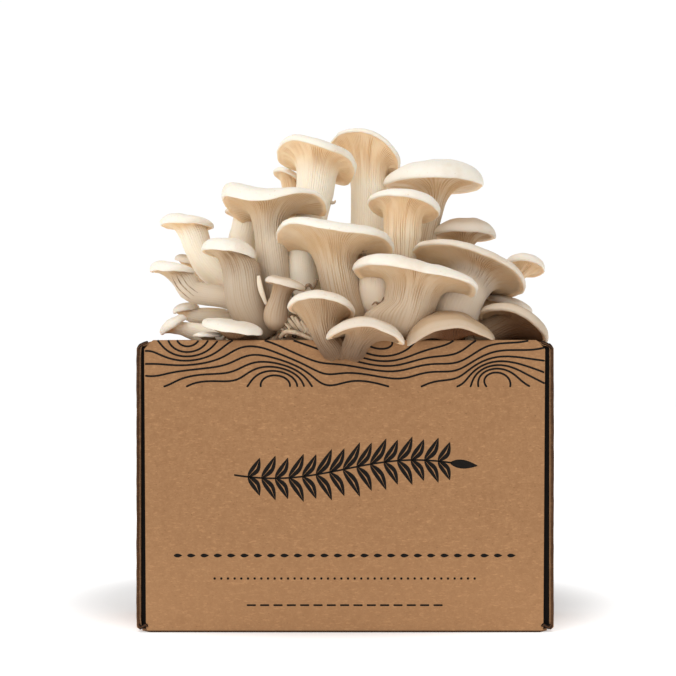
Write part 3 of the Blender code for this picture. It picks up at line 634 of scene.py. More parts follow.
def make_mushroom(m, number, flesh):
    """Cap, rolled-in margin, gills and stem as one closed skin, with the facts that colour it."""
    rng = np.random.default_rng(100 + number)
    small = m.size[0] < SMALL_CAP
    frame = cap_frame(m)
    lobes = waves(rng, (2, 3, 5, 7), 0.022)
    nicks = waves(rng, (9, 13, 17, 26, 35), 0.014)
    lift = waves(rng, (4, 5, 6, 8), 0.5)
    dents = bumps(rng, 9, 11, 0.3)
    uneven = waves(rng, (2, 3, 5, 9, 14), 0.28)
    flutes = max(24, round(TURN * m.stem[-1][3] / FLUTE_PITCH))
    ratio = 2 if small else 3
    cap_cols = 3 * flutes
    cols = ratio * cap_cols
    coarse = TURN * np.arange(cap_cols) / cap_cols
    fine = TURN * np.arange(cols) / cols
    inset = 0.9 * (m.lip / min(m.size))

    def surface(angle, share, up):
        """A point of the cap: share 0 is its middle and 1 its rim, up is the height over the rim."""
        wide = share * (1 + (lobes(angle) + nicks(angle)) * share**2)
        sway = m.arch * np.cos(2 * angle) + m.wave * np.cos(3 * angle - math.radians(m.wave_turn))
        sway = sway + lift(angle) * min(1.0, m.size[0] / 25)
        height = up * (1 + m.peak * share * np.cos(angle)) + sway * share**2
        own = [m.size[0] * wide * np.cos(angle), m.size[1] * wide * np.sin(angle), height]
        return np.array(m.cap) + np.stack(own, -1) @ frame.T

    def margin_ring(angle, slant, hang):
        """A ring of the rolled-in margin. It hangs down most on the near side."""
        depth = m.lip * (0.68 - 0.32 * np.sin(angle)) * (1 + uneven(angle))
        return surface(angle, 1 - inset * (1 - math.cos(slant)), -depth * hang)

    # top of the cap, from its middle out, and round the rolled-in margin
    rings = []
    unders = []
    tans = []
    tops = 8 if small else 14
    for k in range(tops):
        slant = math.pi / 2 * (k + 1) / tops
        share = math.sin(slant) ** (2 / m.edge)
        up = m.dome * max(math.cos(slant), 0) ** (2 / m.edge) - m.dip * (1 - share**2) ** 2
        ring = surface(coarse, share, up)
        rings.append(ring + dents(ring)[:, None] * (1 - share**4) * frame[:, 2])
        unders.append(np.zeros(cap_cols))
        tans.append(1.2 - 0.6 * float(smooth(0.8, 1.0, share)))
    far = smooth(-0.7, 0.2, np.sin(coarse))
    for degrees in MARGIN_DEGREES:
        slant = math.radians(degrees)
        rings.append(margin_ring(coarse, slant, math.sin(slant)))
        unders.append(smooth(0, 30, degrees - 95 + 50 * far))
        tans.append(0.55)
    cap_rings = np.array(rings)

    # gills from the margin to the neck, then the stem down to the foot
    stem_rows = 12 if small else 20
    gill_rows = 12 if small else 16
    lumps = waves(rng, (1, 2, 3), 0.06)
    stem = tube(m.stem, np.linspace(1, 0, stem_rows + 1), cols, frame[:, 0], lumps)
    neck = stem[0]
    reach = np.linalg.norm(np.array(m.cap) - np.array(m.stem[-1][:3]))
    over = neck + curve_direction(m.stem, 1) * reach * m.rise
    margin = margin_ring(fine, math.radians(MARGIN_DEGREES[-1]), 0.62)
    under = surface(fine, 1 - m.flare, -0.3 * m.lip)
    gill_places = (np.arange(1, gill_rows) / gill_rows) ** 1.1
    gills = [
        (1 - t) ** 3 * margin + 3 * t * (1 - t) ** 2 * under + 3 * t**2 * (1 - t) * over + t**3 * neck
        for t in gill_places
    ]
    lower = np.concatenate([np.array(gills), stem])
    along = np.concatenate([gill_places, 1 + np.linspace(0, 1, stem_rows + 1)])[:, None]  # the neck is at 1
    angle = fine[None, :]

    ridge, strength = flute_pattern(rng, flutes, angle, along)
    on_stem = smooth(0.8, 1.1, along)
    fading = min(1.0, 1.75 - 0.75 * m.flutes)  # how far the flutes fade towards the foot
    depth = 0.95 * smooth(0.0, 0.16, along) * (1 - 0.45 * smooth(0.7, 1.0, along))
    depth = depth * (1 - smooth(1.0, 1.7, along) * 0.85 * fading)
    depth = depth * mix(1.0, m.flutes, on_stem)
    depth = depth * min(1.0, 0.4 + m.size[0] / 45)
    leftward = np.maximum(0, -np.cos(angle)) * smooth(201, 190, lower[..., 2])
    lower[..., 0] -= m.spread * leftward * smooth(1.0, 1.3, along)
    across = np.roll(lower, -1, axis=1) - np.roll(lower, 1, axis=1)
    outward = unit(np.cross(across, np.gradient(lower, axis=0)))
    if (outward[-3] * (lower[-3] - lower[-3].mean(axis=0))).sum() < 0:
        outward = -outward
    lower = lower + outward * (depth * strength * (ridge - 0.6))[..., None]

    crown = surface(np.zeros(1), 0.0, m.dome - m.dip)[0]
    points = np.concatenate([cap_rings.reshape(-1, 3), lower.reshape(-1, 3), [crown, lower[-1].mean(axis=0)]])
    cap_count = cap_rings.shape[0] * cap_cols
    last = len(points) - 1
    faces = [
        fan(0, cap_cols, last - 1)[:, ::-1],
        wrap_quads(0, cap_rings.shape[0], cap_cols),
        widening(cap_count - cap_cols, cap_cols, cap_count, ratio),
        wrap_quads(cap_count, lower.shape[0], cols),
        fan(last - 1 - cols, cols, last),
    ]

    # facts, first for the lower part
    height = lower[..., 2]
    # painted shade in the grooves between the gills and between the flutes
    groove = (1 - ridge) * np.clip(strength, 0, 1) * smooth(0.0, 0.12, along)
    groove = groove * mix(1.0, 0.35 + 0.65 * m.flutes, on_stem)
    groove = groove * (1 - 0.75 * fading * smooth(1.05, 1.8, along))
    # browner and darker down to the foot: partly its own colour, partly painted shade
    foot = smooth(1.55, 2.0, along) * smooth(200, 178, height) * (1 - 0.6 * m.pale)
    # painted shade near the box's opening
    deep = 0.67 * smooth(185, 171, height) + 0.33 * smooth(175, 164, height)
    behind = lower[..., 1] - lower[..., 1].mean(axis=1)[:, None]
    # painted shade: more on the cap's right side, less on the back of the stem and on pale stems
    shade = m.shade * (0.45 + 0.55 * smooth(-1.0, 0.1, (lower[..., 0] - m.cap[0]) / m.size[0]))
    shade = shade * (1 - 0.7 * smooth(1.0, 1.3, along) * smooth(-1, 3, behind))
    shade = shade * (1 - 0.9 * m.pale * smooth(0.85, 1.15, along))

    def whole(cap_values, low_values):
        ends = [cap_values[0], 1]  # the middle of the cap, and the end of the foot
        return np.concatenate([cap_values, np.broadcast_to(low_values, lower.shape[:2]).ravel(), ends])

    nothing = np.zeros(cap_count)
    return piece(
        m.name + "_looks",
        points,
        faces,
        flesh,
        "mushroom_flesh",
        (m.name,),
        groove=whole(nothing, groove),
        under=whole(np.concatenate(unders), 1.0),
        down=whole(nothing, smooth(0.45 - 0.1 * m.pale, 1.15 - 0.25 * m.pale, along)),
        foot=whole(nothing, foot),
        # painted shade, more the lower the part, and none on pale stems
        low=whole(nothing, smooth(250, 168, height) * (1 - m.pale)),
        deep=whole(nothing, deep * (1 - 0.6 * m.pale)),
        pale=np.full(len(points), m.pale),
        tan=m.tan * whole(np.repeat(tans, cap_cols), 1.0),
        shade=whole(nothing, shade),
    )


# ---- Foot of the cluster ----


def squarish(values):
    """Turns the sines or cosines of a circle into those of a squarer one."""
    return np.sign(values) * np.abs(values) ** 0.75


def make_base(surface):
    """The lump in the opening, the mound behind the front stems, and the tongue over the box's edge."""
    rng = np.random.default_rng(7)
    half_length, half_depth = 91, 35
    cols = 220
    angle = TURN * np.arange(cols) / cols
    levels = [  # height, share of the length, share of the depth, middle of the depth
        (BLOCK_TOP + 0.3, 0.9, 0.9, 0),
        (BLOCK_TOP + 3, 1.0, 1.0, 0),
        (176.5, 0.95, 0.95, 0),
        (185.5, 0.78, 0.66, 8),
        (194.5, 0.6, 0.48, 11),
        (201.5, 0.4, 0.3, 12),
        (204.0, 0.1, 0.08, 12),
    ]
    ribs = waves(rng, (9, 14, 22, 31), 0.045)
    rings = []
    for t in np.linspace(0, 1, 44):
        height, long, deep, middle = curve_at(levels, t)
        lump = 1 - 0.035 * (1 + np.sin(5 * angle + 1) * np.cos(3 * angle)) + ribs(angle, 2 * t)
        x = half_length * long * lump * squarish(np.cos(angle)) + FOOT_MIDDLE
        y = half_depth * deep * lump * squarish(np.sin(angle)) + middle
        rings.append(np.stack([x, y, np.full(cols, height)], -1))
    rings = np.array(rings)
    lumps = bumps(rng, 10, 9, 0.5)(rings)
    rings = rings + lumps[..., None] * np.array([0.4, 0.4, 1.0])
    shell = Shell()
    shell.add(rings, pale=0.25 + 0.5 * smooth(180, 200, rings[..., 2]))
    tongue = [(0, -20, 182, 8), (0, -36, 181.8, 7), (0, -46, 181.5, 6), (0, -52, 181, 4)]
    bent = tube(tongue, np.linspace(0, 1, 14), 60, swell=waves(rng, (3, 5, 8), 0.12), squash=0.75)
    bent[..., 0] *= 1.5  # wider than it's thick
    shell.add(bent, pale=0.2)
    shell.finish("cluster_base_looks", surface, "mushroom_base", ("cluster_base",))


def make_pins(surface):
    """Small aborted pins: the tangle at the front, and more of them round the base."""
    rng = np.random.default_rng(21)
    tangle = [  # foot, middle and tip of each pin with its radius
        [(-29.5, -37, 180.5, 0.9), (-33, -37.5, 184, 1.2), (-36.4, -37, 187, 0.9)],
        [(-27.5, -38, 180.2, 1.0), (-31, -38.5, 184.2, 1.3), (-34.3, -38, 188.4, 0.9)],
        [(-22.8, -39, 178, 1.0), (-27, -39.5, 183.5, 1.5), (-32, -39, 189.6, 1.0)],
        [(-20.6, -40, 176.8, 1.0), (-25.4, -40.5, 182.4, 1.3), (-29.6, -40, 189, 0.9)],
        [(-18.4, -41, 176.4, 0.9), (-22.2, -41.5, 181.2, 1.2), (-26, -41, 186.6, 0.8)],
        [(-33, -36, 179.5, 0.8), (-35.6, -37, 182.3, 1.1), (-38.2, -36.6, 184.8, 0.8)],
        [(-21.5, -38, 181, 0.8), (-24, -38.6, 185.5, 1.1), (-27.5, -38, 190.5, 0.8)],
        [(-17.4, -39.4, 179.6, 0.8), (-19.6, -40, 183.6, 1.0), (-22.6, -39.4, 188, 0.7)],
        [(-39.2, -38, 176.6, 1.1), (-35.8, -41.5, 180.3, 1.3), (-29.8, -42.5, 180, 1.4)],
        [(-29.8, -42.5, 180, 1.4), (-25, -43.2, 178.4, 1.4), (-19.5, -44, 175.8, 1.3)],
        [(-39.4, -37, 177, 0.8), (-37, -38.6, 181.3, 0.9), (-41.4, -38, 183.4, 0.8)],
        [(-36, -40.5, 177.4, 0.6), (-33.4, -41, 181.8, 0.8), (-36.2, -40, 185.6, 0.6)],
        [(-24.6, -41, 179, 0.6), (-21.6, -42.4, 182.4, 0.8), (-19, -42, 179.4, 0.6)],
        [(-16, -42, 177, 0.7), (-17.8, -42.6, 180.6, 0.8), (-16.2, -42, 184.4, 0.6)],
    ]
    shadow_pins = [  # the same of the dark pins behind them, near black: painted shade in the gaps of the tangle
        [(-31, -35, 177, 1.6), (-29, -35.6, 183, 1.8), (-31, -35, 188.5, 1.2)],
        [(-24, -35, 177, 1.6), (-23, -35.6, 182, 1.8), (-24.6, -35, 187.5, 1.2)],
        [(-18, -36, 177, 1.6), (-19, -36.6, 181, 1.6), (-19.6, -36, 185.5, 1.2)],
        [(-37, -34, 177, 1.6), (-36, -34.6, 182, 1.6), (-37, -34, 187, 1.2)],
    ]
    shell = Shell()
    for path in tangle:
        add_pin(shell, rng, path, foot_pale=0.4)
    for path in shadow_pins:
        add_pin(shell, rng, path, foot_pale=0, tip_pale=0, dark=0.85)
    shell.finish("pin_tangle_looks", surface, "mushroom_base", ("pin_tangle",))

    more = Shell()
    for _ in range(80):
        way = rng.uniform(0, TURN)
        share = rng.uniform(0.55, 0.98)
        x = FOOT_MIDDLE + 80 * share * float(squarish(np.cos(way)))
        y = 30 * share * float(squarish(np.sin(way))) + 4
        if y < -18:  # where the tangle and the front stems are
            continue
        low = 176.5 + 24 * max(0.0, 1 - share) * 1.6
        lean = rng.normal(0, 2.0, 2) + np.array([x - FOOT_MIDDLE, y]) * 0.05
        tall = rng.uniform(4, 11)
        radius = rng.uniform(0.9, 1.9)
        path = [
            (x, y, low - 3, radius),
            (x + lean[0] * 0.4, y + lean[1] * 0.4, low + tall * 0.5, radius * 0.85),
            (x + lean[0], y + lean[1], low + tall, radius * 1.15),
        ]
        add_pin(more, rng, path)
    more.finish("base_pins", surface, "mushroom_base")


def add_pin(shell, rng, path, foot_pale=0.15, tip_pale=0.95, dark=0):
    """One pin: a bent stalk with a blunt head."""
    rings = tube(path, np.linspace(0, 1, 12), 14, swell=waves(rng, (2, 3), 0.12))
    tip = np.array(path[-1][:3]) + curve_direction(path, 1) * path[-1][3] * 0.9
    heads = [rings]
    for share in (0.92, 0.72, 0.4):
        middle = mix(np.array(path[-1][:3]), tip, math.sqrt(1 - share**2))
        heads.append((middle + (rings[-1] - rings[-1].mean(axis=0)) * share)[None])
    rings = np.concatenate(heads)
    shell.add(rings, pale=np.linspace(foot_pale, tip_pale, len(rings))[:, None], dark=dark)


def laid_on(made, path, steps=24):
    """Rings of a thin strand, given as (x, z, radius), along the side of a piece that faces the lid's way."""
    mesh = made.data
    tree = BVHTree.FromPolygons([v.co for v in mesh.vertices], [f.vertices[:] for f in mesh.polygons])
    in_front = -0.2  # metres, before every piece
    strand = []
    for t in np.linspace(0, 1, steps):
        x, z, radius = curve_at(path, t)
        hit = tree.ray_cast(Vector((x * MM, in_front, z * MM)), Vector((0, 1, 0)))[0]
        if hit:
            strand.append((x, hit.y / MM, z, radius))
    return tube(strand, np.linspace(0, 1, 2 * steps), 10, (0, 1, 0))


def flesh_facts(**given):
    """The facts of a small piece of flesh, each the same all over it."""
    return {fact: given.get(fact, 0.0) for fact in FLESH_FACTS}


def make_small_bits(grown, flesh, surface):
    """The lump that joins the two front feet, a pale blade, a spur, the cracks and dry curls, and dark
    strands of painted shade in grooves.
    """
    rng = np.random.default_rng(33)
    shell = Shell()
    blade = [(-47.6, -35, 197, 0.7), (-48.6, -35.5, 200, 1.2), (-50.4, -36, 205, 1.6), (-51.6, -36, 210, 1.5),
             (-52.2, -35.5, 214.5, 0.9)]
    # the blade takes half the painted shade of the low parts
    facts = flesh_facts(under=0.8, down=1.0, low=0.5, pale=0.6, tan=0.2)
    shell.add(tube(blade, np.linspace(0, 1, 20), 18, squash=0.5), **facts)
    spur = [(-9.5, 10, 262, 1.5), (-6.6, 9.6, 261.8, 1.0), (-5.6, 9.4, 263.2, 0.45)]
    # the spur is browner like a foot: partly its own colour, partly painted shade
    facts["foot"] = 0.4
    shell.add(tube(spur, np.linspace(0, 1, 10), 12, swell=waves(rng, (2, 3), 0.2)), **facts)
    joint = [(-6, -51, 177, 4), (-2.5, -52.6, 171.5, 5.4), (-0.5, -53.2, 167.6, 5.8), (0.4, -53, 164.2, 3.6)]
    # the joint takes painted shade all over, like the feet low down
    facts = flesh_facts(groove=0.4, under=1.0, down=1.0, foot=0.7, low=1.0, tan=0.9, shade=0.5, deep=1.0)
    shell.add(tube(joint, np.linspace(0, 1, 24), 60, swell=waves(rng, (9, 14, 17), 0.09)), **facts)
    shell.finish("joint_blade_and_spur", flesh, "mushroom_flesh")

    marks = Shell()
    strands = (  # on which piece, how pale, and where
        ("torn_stub", 0.1, [(16.6, 196.6, 0.2), (18.6, 198.4, 0.6), (20.6, 197.6, 0.9), (22.2, 198.4, 0.4)]),
        ("torn_stub", 0.1, [(20.4, 197.4, 0.3), (22.4, 198.2, 0.7), (23.8, 201, 0.6), (25.8, 202.6, 0.2)]),
        # painted shade: dark strands in the grooves under the curved mushroom's cap
        ("mushroom_left_curved", 0.1, [(-106.7, 215, 0.1), (-102.8, 207.6, 0.4), (-95.4, 200.8, 0.15)]),
        ("mushroom_left_curved", 0.1, [(-104, 216.2, 0.1), (-100.3, 209.4, 0.45), (-92.9, 202.6, 0.1)]),
        ("mushroom_left_curved", 0.1, [(-101.5, 217.4, 0.1), (-97.2, 210, 0.35), (-90.4, 204.5, 0.1)]),
        ("mushroom_top_left", 0.3, [(-24.4, 206.4, 0.5), (-23.4, 208.8, 1.1), (-21.4, 209.2, 1.0),
                                    (-19.8, 206.4, 0.5)]),
        ("mushroom_top_left", 0.3, [(-20, 206, 0.6), (-18.4, 209.8, 1.2), (-17, 212.6, 0.9)]),
        ("mushroom_front_middle", 0.35, [(9.8, 227.4, 0.4), (11.2, 228.6, 1.0), (13, 228, 0.9),
                                         (14.2, 226.8, 0.3)]),
        ("mushroom_front_middle", 0.35, [(11, 230, 0.3), (12.2, 229.6, 0.8), (13.6, 230.2, 0.3)]),
    )
    for name, pale, path in strands:
        marks.add(laid_on(grown[name], path), pale=pale)
    marks.finish("marks", surface, "mushroom_base")


# ---- Box ----


def rounded_outline(half, corner, steps=10):
    """Points round a box with rounded corners: half is its half width and half depth."""
    points = []
    for quarter, (sx, sy) in enumerate(((1, 1), (-1, 1), (-1, -1), (1, -1))):
        for i in range(steps + 1):
            angle = math.radians(90 * (quarter + i / steps))
            x = sx * (half[0] - corner) + corner * math.cos(angle)
            points.append((x, sy * (half[1] - corner) + corner * math.sin(angle)))
    return np.array(points)


def at_angles(outline, angles):
    """Where rays from the middle cross a closed outline."""
    loop = np.concatenate([outline, outline[:1]])
    found = []
    for angle in angles:
        way = np.array([math.cos(angle), math.sin(angle)])
        best = None
        for a, b in zip(loop, loop[1:]):
            edge = b - a
            det = way[0] * -edge[1] + edge[0] * way[1]
            if abs(det) < 1e-9:
                continue
            t = (a[0] * -edge[1] + edge[0] * a[1]) / det
            u = (way[0] * a[1] - way[1] * a[0]) / det
            if t > 0 and -1e-6 <= u <= 1 + 1e-6 and (best is None or t < best):
                best = t
        found.append(way * best)
    return np.array(found)


def bend(middle, radius, start, end, steps=7):
    """Points on a bend in the board, as (y, z), and the direction that its outside faces."""
    out = []
    for degrees in np.linspace(start, end, steps):
        way = np.array([math.cos(math.radians(degrees)), math.sin(math.radians(degrees))])
        out.append((np.array(middle) + radius * way, way))
    return out


def drop(x):
    """How far the top bends down towards the side walls."""
    return (BOX_HEIGHT - SHOULDER) * smooth(112.5, 122, np.abs(x))


def make_wrap(kraft):
    """The sheet of the back, the bottom and the lid, with the lid's flap bent in behind its top edge."""
    r = 1.6  # radius of the bends at the back
    low_bend, top_bend = 0.8, 1.2  # and of those at the lid's bottom and top
    y, z = HALF_DEPTH, BOX_HEIGHT
    rows = []

    def straight(a, b, facing, steps):
        for t in np.linspace(0, 1, steps + 1)[1:-1]:
            rows.append((mix(np.array(a), np.array(b), t), np.array(facing)))

    # down the back, forward under the bottom, up the lid, and over its top edge into the flap
    rows += bend((y - r, z - r), r, 90, 0)
    straight((y, z - r), (y, r), (1, 0), 24)
    rows += bend((y - r, r), r, 0, -90)
    straight((y - r, 0), (-y + r, 0), (0, -1), 14)
    rows += bend((-y + low_bend, low_bend), low_bend, -90, -180)
    straight((-y, low_bend), (-y, 3), (-1, 0), 5)
    straight((-y, 2.6), (-y, z - top_bend), (-1, 0), 40)
    rows += bend((-y + top_bend, z - top_bend), top_bend, 180, 90, 5)
    rows.append((np.array((-y + 2.4, z - 1.0)), np.array((0.5, 0.85))))
    rows.append((np.array((-y + 3.2, z - 2.2)), np.array((0.3, 0.95))))
    rows.append((np.array((-y + 8.0, z - 2.4)), np.array((0, 1))))
    cols = 61
    shares = np.linspace(-1, 1, cols)
    outer = []
    inner = []
    for (along, height), facing in rows:
        half = SHEET_HALF
        if along < -y + 6:  # the lid, with its cut upper corners and its rounded lower ones
            half = mix(LID_LOW_HALF, LID_HIGH_HALF, height / z)
            over = max(0.0, height - (z - LID_CORNER[1]))
            half -= LID_CORNER[0] * min(1.0, over / LID_CORNER[1])
            low = max(0.0, 1 - max(height, 0) / 3.0)
            half -= 2.2 * low**2 if along < -y + 3 else 0
        x = shares * half
        outer.append(np.stack([x, np.full(cols, along), np.full(cols, height)], -1))
        back = np.array((along, height)) - unit(facing) * BOARD
        inner.append(np.stack([x, np.full(cols, back[0]), np.full(cols, back[1])], -1))
    rings = np.concatenate([np.array(outer), np.array(inner)[:, ::-1]], axis=1)
    behind = smooth(0, 10, rings[..., 1]) * smooth(168, BOX_HEIGHT, rings[..., 2])
    rings[..., 2] -= drop(rings[..., 0]) * behind
    points = rings.reshape(-1, 3)
    # painted shadow: a dark line along the lid's bottom bend, where it meets the floor
    crease = 0.9 * smooth(1.5, 0.9, points[:, 2]) * smooth(-44, -46, points[:, 1])
    faces = capped_grid(len(rows), 2 * cols)
    made = piece("box_wrap", points, faces, kraft, "kraft_board", ("mailer_box",), crease=crease)
    soften(made, 0.35)


def soften(made, width):
    """Rounds the sharp edges of a piece a little."""
    bevel = made.modifiers.new("bevel", "BEVEL")
    bevel.width = width * MM
    bevel.segments = 2
    bevel.limit_method = "ANGLE"
    bevel.angle_limit = BEVEL_ANGLE
    bevel.harden_normals = False
    made.data.set_sharp_from_angle(angle=SHARP_ANGLE)


def slab(name, outline, stations, surface, width):
    """An upright board over an outline of (y, z).

    Its stations are (x, cut): how much of the outline's top and bottom is cut off there.
    """
    outline = np.array(outline)
    count = len(outline)
    low, high = outline[:, 1].min(), outline[:, 1].max()
    layers = []
    for x, cut in stations:
        heights = np.clip(outline[:, 1], low + cut, high - cut)
        layers.append(np.stack([np.full(count, x), outline[:, 0], heights], -1))
    faces = capped_grid(len(stations), count)
    made = piece(name, np.concatenate(layers), faces, surface, "kraft_board")
    soften(made, width)


FOLD_PATH = (  # from the bottom up: distance in from the bead's line and from the front, height, thickness
    (1.6, 1.6, 1.9, 0.8),
    (0.2, 1.0, 6.5, 1),
    (0, 0.9, 30, 1),
    (0, 0.9, 88, 1),
    (0, 0.9, 145, 1),
    (0.3, 1.0, 168.5, 1),
    (2.2, 1.6, 173.2, 0.8),
)


def make_side(side, kraft, fold, ridge, dark):
    """A side wall, the rolled fold along its front edge, the dark slot beside the lid, and the bent tabs.
    Fold and tabs wear painted shade, and the slot's back is a near black sheet, a painted shadow.
    """
    half_width = HALF_WIDTH if side < 0 else HALF_WIDTH_RIGHT
    inside = half_width - SIDE_BOARD
    name = "left" if side < 0 else "right"
    rng = np.random.default_rng(40 + side)
    outline = []
    rounds = (  # middle, radius and first angle of each corner
        ((HALF_DEPTH - 2, SHOULDER - 2), 2, 0),
        ((-HALF_DEPTH + 5, SHOULDER - 3.7), 3.5, 90),
        ((-HALF_DEPTH + 5, 5.2), 3.5, 180),
        ((HALF_DEPTH - 2, 2), 2, 270),
    )
    for middle, radius, start in rounds:
        outline += [point for point, _ in bend(middle, radius, start, start + 90, 8)]
    cuts = ((inside, 0), (half_width - 1.9, 0.2), (half_width - 0.7, 1.1), (half_width, 2.6))
    slab(name + "_side_wall", outline, [(side * x, cut) for x, cut in cuts], kraft, 0.4)

    # the fold: an outer bead and a narrower inner one, from bottom to top along the front edge, both in
    # painted shade
    outer_radius, inner_radius = 0.95, 0.5
    outer_line = half_width - outer_radius
    inner_line = half_width - (2.15 if side < 0 else 1.8)
    beads = (("outer", outer_line, outer_radius, fold), ("inner", inner_line, inner_radius, ridge))
    places = np.linspace(0, 1, 140)
    wobble = waves(rng, (1,), 0.1)
    creases = bumps(rng, 9, 7, 0.09)
    # painted shade at both ends of each bead
    ends = smooth(0.975, 0.99, places) + smooth(0.03, 0.01, places)
    for part, x, radius, surface in beads:
        path = []
        for inward, back, z, thickness in FOLD_PATH:
            path.append((side * (x - inward), -HALF_DEPTH + back, z, radius * thickness))
        rings = tube(path, places, 16, swell=lambda angle, t: wobble(angle, 9 * t))
        rings = rings + creases(rings)[..., None] * np.array([1.0, 0.6, 0])
        shell = Shell()
        shell.add(rings, crease=ends[:, None])
        shell.finish(f"{name}_fold_{part}", surface, "kraft_board")

    # painted shadow: a near black sheet at the back of the slot
    slot = [(-HALF_DEPTH + back, z) for back, z in ((30, 4), (30, 171), (3, 171), (3, 4))]
    slab(name + "_slot_shadow_sheet", slot, [(side * (LID_HALF - 1.0), 0), (side * (inside + 0.4), 0)], dark, 0.2)

    # the bent tabs at the top and at the bottom of the slot
    shell = Shell()
    upper = [(half_width - 1.1, -49.4, 170.4, 0.8), (123.0, -49.6, 172.0, 0.9), (121.2, -49.9, 173.1, 0.9),
             (119.4, -50.1, 173.8, 0.95), (118.0, -50.2, 174.4, 0.7)]
    lower = [(123.9, -49.3, 4.6, 0.9), (122.6, -49.6, 3.0, 1.0), (120.9, -49.9, 3.6, 0.95),
             (119.3, -50.1, 4.6, 0.95), (118.6, -50.1, 3.4, 0.8)]
    # painted shade: the tabs darken along their upper and lower edges
    edges = smooth(0.2, 0.6, np.abs(np.sin(TURN * np.arange(20) / 20)))
    for tab, uneven in ((upper, 0.12), (lower, 0.15)):
        path = [(side * x, y, z, radius) for x, y, z, radius in tab]
        swell = waves(rng, (2, 3, 4), uneven)
        shell.add(tube(path, np.linspace(0, 1, 30), 20, (0, 1, 0), swell), crease=edges)
    shell.finish(name + "_tabs", fold, "kraft_board")


def make_top(kraft, torn):
    """The top wall with the opening torn in it: the liner is ragged and paler round the tear."""
    rng = np.random.default_rng(55)
    right, left = SHEET_HALF, -SHEET_HALF
    outer = np.array([(right, TOP_BACK), (left, TOP_BACK), (left, TOP_FRONT), (right, TOP_FRONT)])
    corner_angles = [math.atan2(b, a) % TURN for a, b in outer]
    angles = np.array(sorted({*np.linspace(0, TURN, 360, endpoint=False), *corner_angles}))
    edge = at_angles(outer, angles)
    hole = at_angles(rounded_outline(OPENING_HALF, OPENING_CORNER), angles)
    away = unit(hole)
    ragged = waves(rng, (23, 37, 61, 88), 0.9)(angles) + waves(rng, (5, 9, 14), 0.7)(angles)
    torn_width = 1.6 + waves(rng, (7, 12, 19, 31), 1.1)(angles)
    z = BOX_HEIGHT
    curl = 0.3 * (0.5 * waves(rng, (4, 7, 11), 1.0)(angles))
    tear = hole + away * ragged[:, None]
    back = tear + away * np.maximum(torn_width, 0.4)[:, None]
    rings = np.array([  # down the outer edge, over the top to the tear, and back below
        level_ring(edge, z - BOARD),
        level_ring(edge, z - 0.25),
        level_ring(edge * 0.998, z),
        level_ring(mix(edge, back, 0.5), z),
        level_ring(back, z),
        level_ring(back - away * 0.15, z - 0.3),
        level_ring(tear, z - 0.42 + curl),
        level_ring(tear - away * 0.3, z - 0.8 + curl),
        level_ring(tear + away * 0.1, z - BOARD + curl),
        level_ring(mix(edge, back, 0.9), z - BOARD),
    ])
    rings[..., 2] -= drop(rings[..., 0])
    count = len(angles)
    faces = [wrap_quads(0, len(rings), count), seam_quads(len(rings), count)]
    made = piece("box_top", rings.reshape(-1, 3), faces, kraft, "kraft_board")
    made.data.materials.append(torn)
    surfaces = np.zeros(len(made.data.polygons), dtype=np.int32)
    surfaces[4 * count : 8 * count] = 1  # from the cut edge of the liner to the tear's underside
    made.data.polygons.foreach_set("material_index", surfaces)
    made.data.set_sharp_from_angle(angle=SHARP_ANGLE)


# ---- Print on the lid ----


KNOTS = (  # x, z, width, height and strength
    (-96, 173, 15, 12, 3.2),
    (-38, 151, 17, 10, -3.4),
    (30, 170, 24, 11, 2.6),
    (88, 153, 13, 9, -3.6),
)


def grain(x, z):
    """Height of an imagined figured wood: its contours are the lines of the band."""
    value = 0.155 * z + 1.25 * np.sin(x / 31 + 0.9) + 0.45 * np.sin(x / 13 - z / 16)
    value = value + 0.35 * np.sin(x / 7.7 + z / 10 + 1.3)
    for kx, kz, wide, high, tall in KNOTS:
        value = value + tall * np.exp(-(((x - kx) / wide) ** 2) - ((z - kz) / high) ** 2)
    return value


def grain_lines(low, high, half):
    """Contours of the grain inside the band, as lists of (x, z), followed from its borders and knots."""

    def slope(p):
        d = 0.01
        gx = (grain(p[0] + d, p[1]) - grain(p[0] - d, p[1])) / (2 * d)
        gz = (grain(p[0], p[1] + d) - grain(p[0], p[1] - d)) / (2 * d)
        return np.array([gx, gz])

    def inside(p):
        return abs(p[0]) <= half and low <= p[1] <= high

    def follow(p, level, way):
        points = [p]
        for _ in range(900):  # one step along the contour, then back onto its level
            g = slope(p)
            step = np.array([-g[1], g[0]]) * way
            p = p + 0.45 * step / max(np.linalg.norm(step), 1e-6)
            g = slope(p)
            p = p - g * (grain(p[0], p[1]) - level) / max(g @ g, 1e-6)
            if not inside(p):
                break
            points.append(p)
            if len(points) > 12 and np.linalg.norm(p - points[0]) < 0.4:
                points.append(points[0])
                break
        return points

    seeds = []
    for z in (low + 0.01, high - 0.01, (low + high) / 2, low + 5, high - 5):
        xs = np.arange(-half, half, 0.4)
        seeds += crossings(np.stack([xs, np.full(len(xs), z)], -1))
    for x in (-half + 0.01, half - 0.01, *(knot[0] for knot in KNOTS)):
        zs = np.arange(low, high, 0.4)
        seeds += crossings(np.stack([np.full(len(zs), x), zs], -1))
    lines = []
    taken = {}
    for p, level in seeds:
        key = (round(p[0]), round(p[1]))
        near = [q for i in (-1, 0, 1) for j in (-1, 0, 1) for q in taken.get((key[0] + i, key[1] + j), ())]
        if any(np.hypot(q[0] - p[0], q[1] - p[1]) < 0.9 for q in near):
            continue
        line = follow(p, level, 1)
        if np.linalg.norm(line[-1] - line[0]) > 0.01 or len(line) < 4:
            line = follow(p, level, -1)[::-1] + line[1:]
        for q in line:
            taken.setdefault((round(q[0]), round(q[1])), []).append(q)
        if len(line) > 6:
            lines.append(np.array(line))
    return lines


def crossings(path):
    """Where a path crosses a whole level of the grain: (point, level) pairs."""
    values = grain(path[:, 0], path[:, 1])
    found = []
    for a, b, u, v in zip(path, path[1:], values, values[1:]):
        if math.floor(u) != math.floor(v):
            level = max(math.floor(u), math.floor(v))
            found.append((mix(a, b, (level - u) / (v - u)), level))
    return found


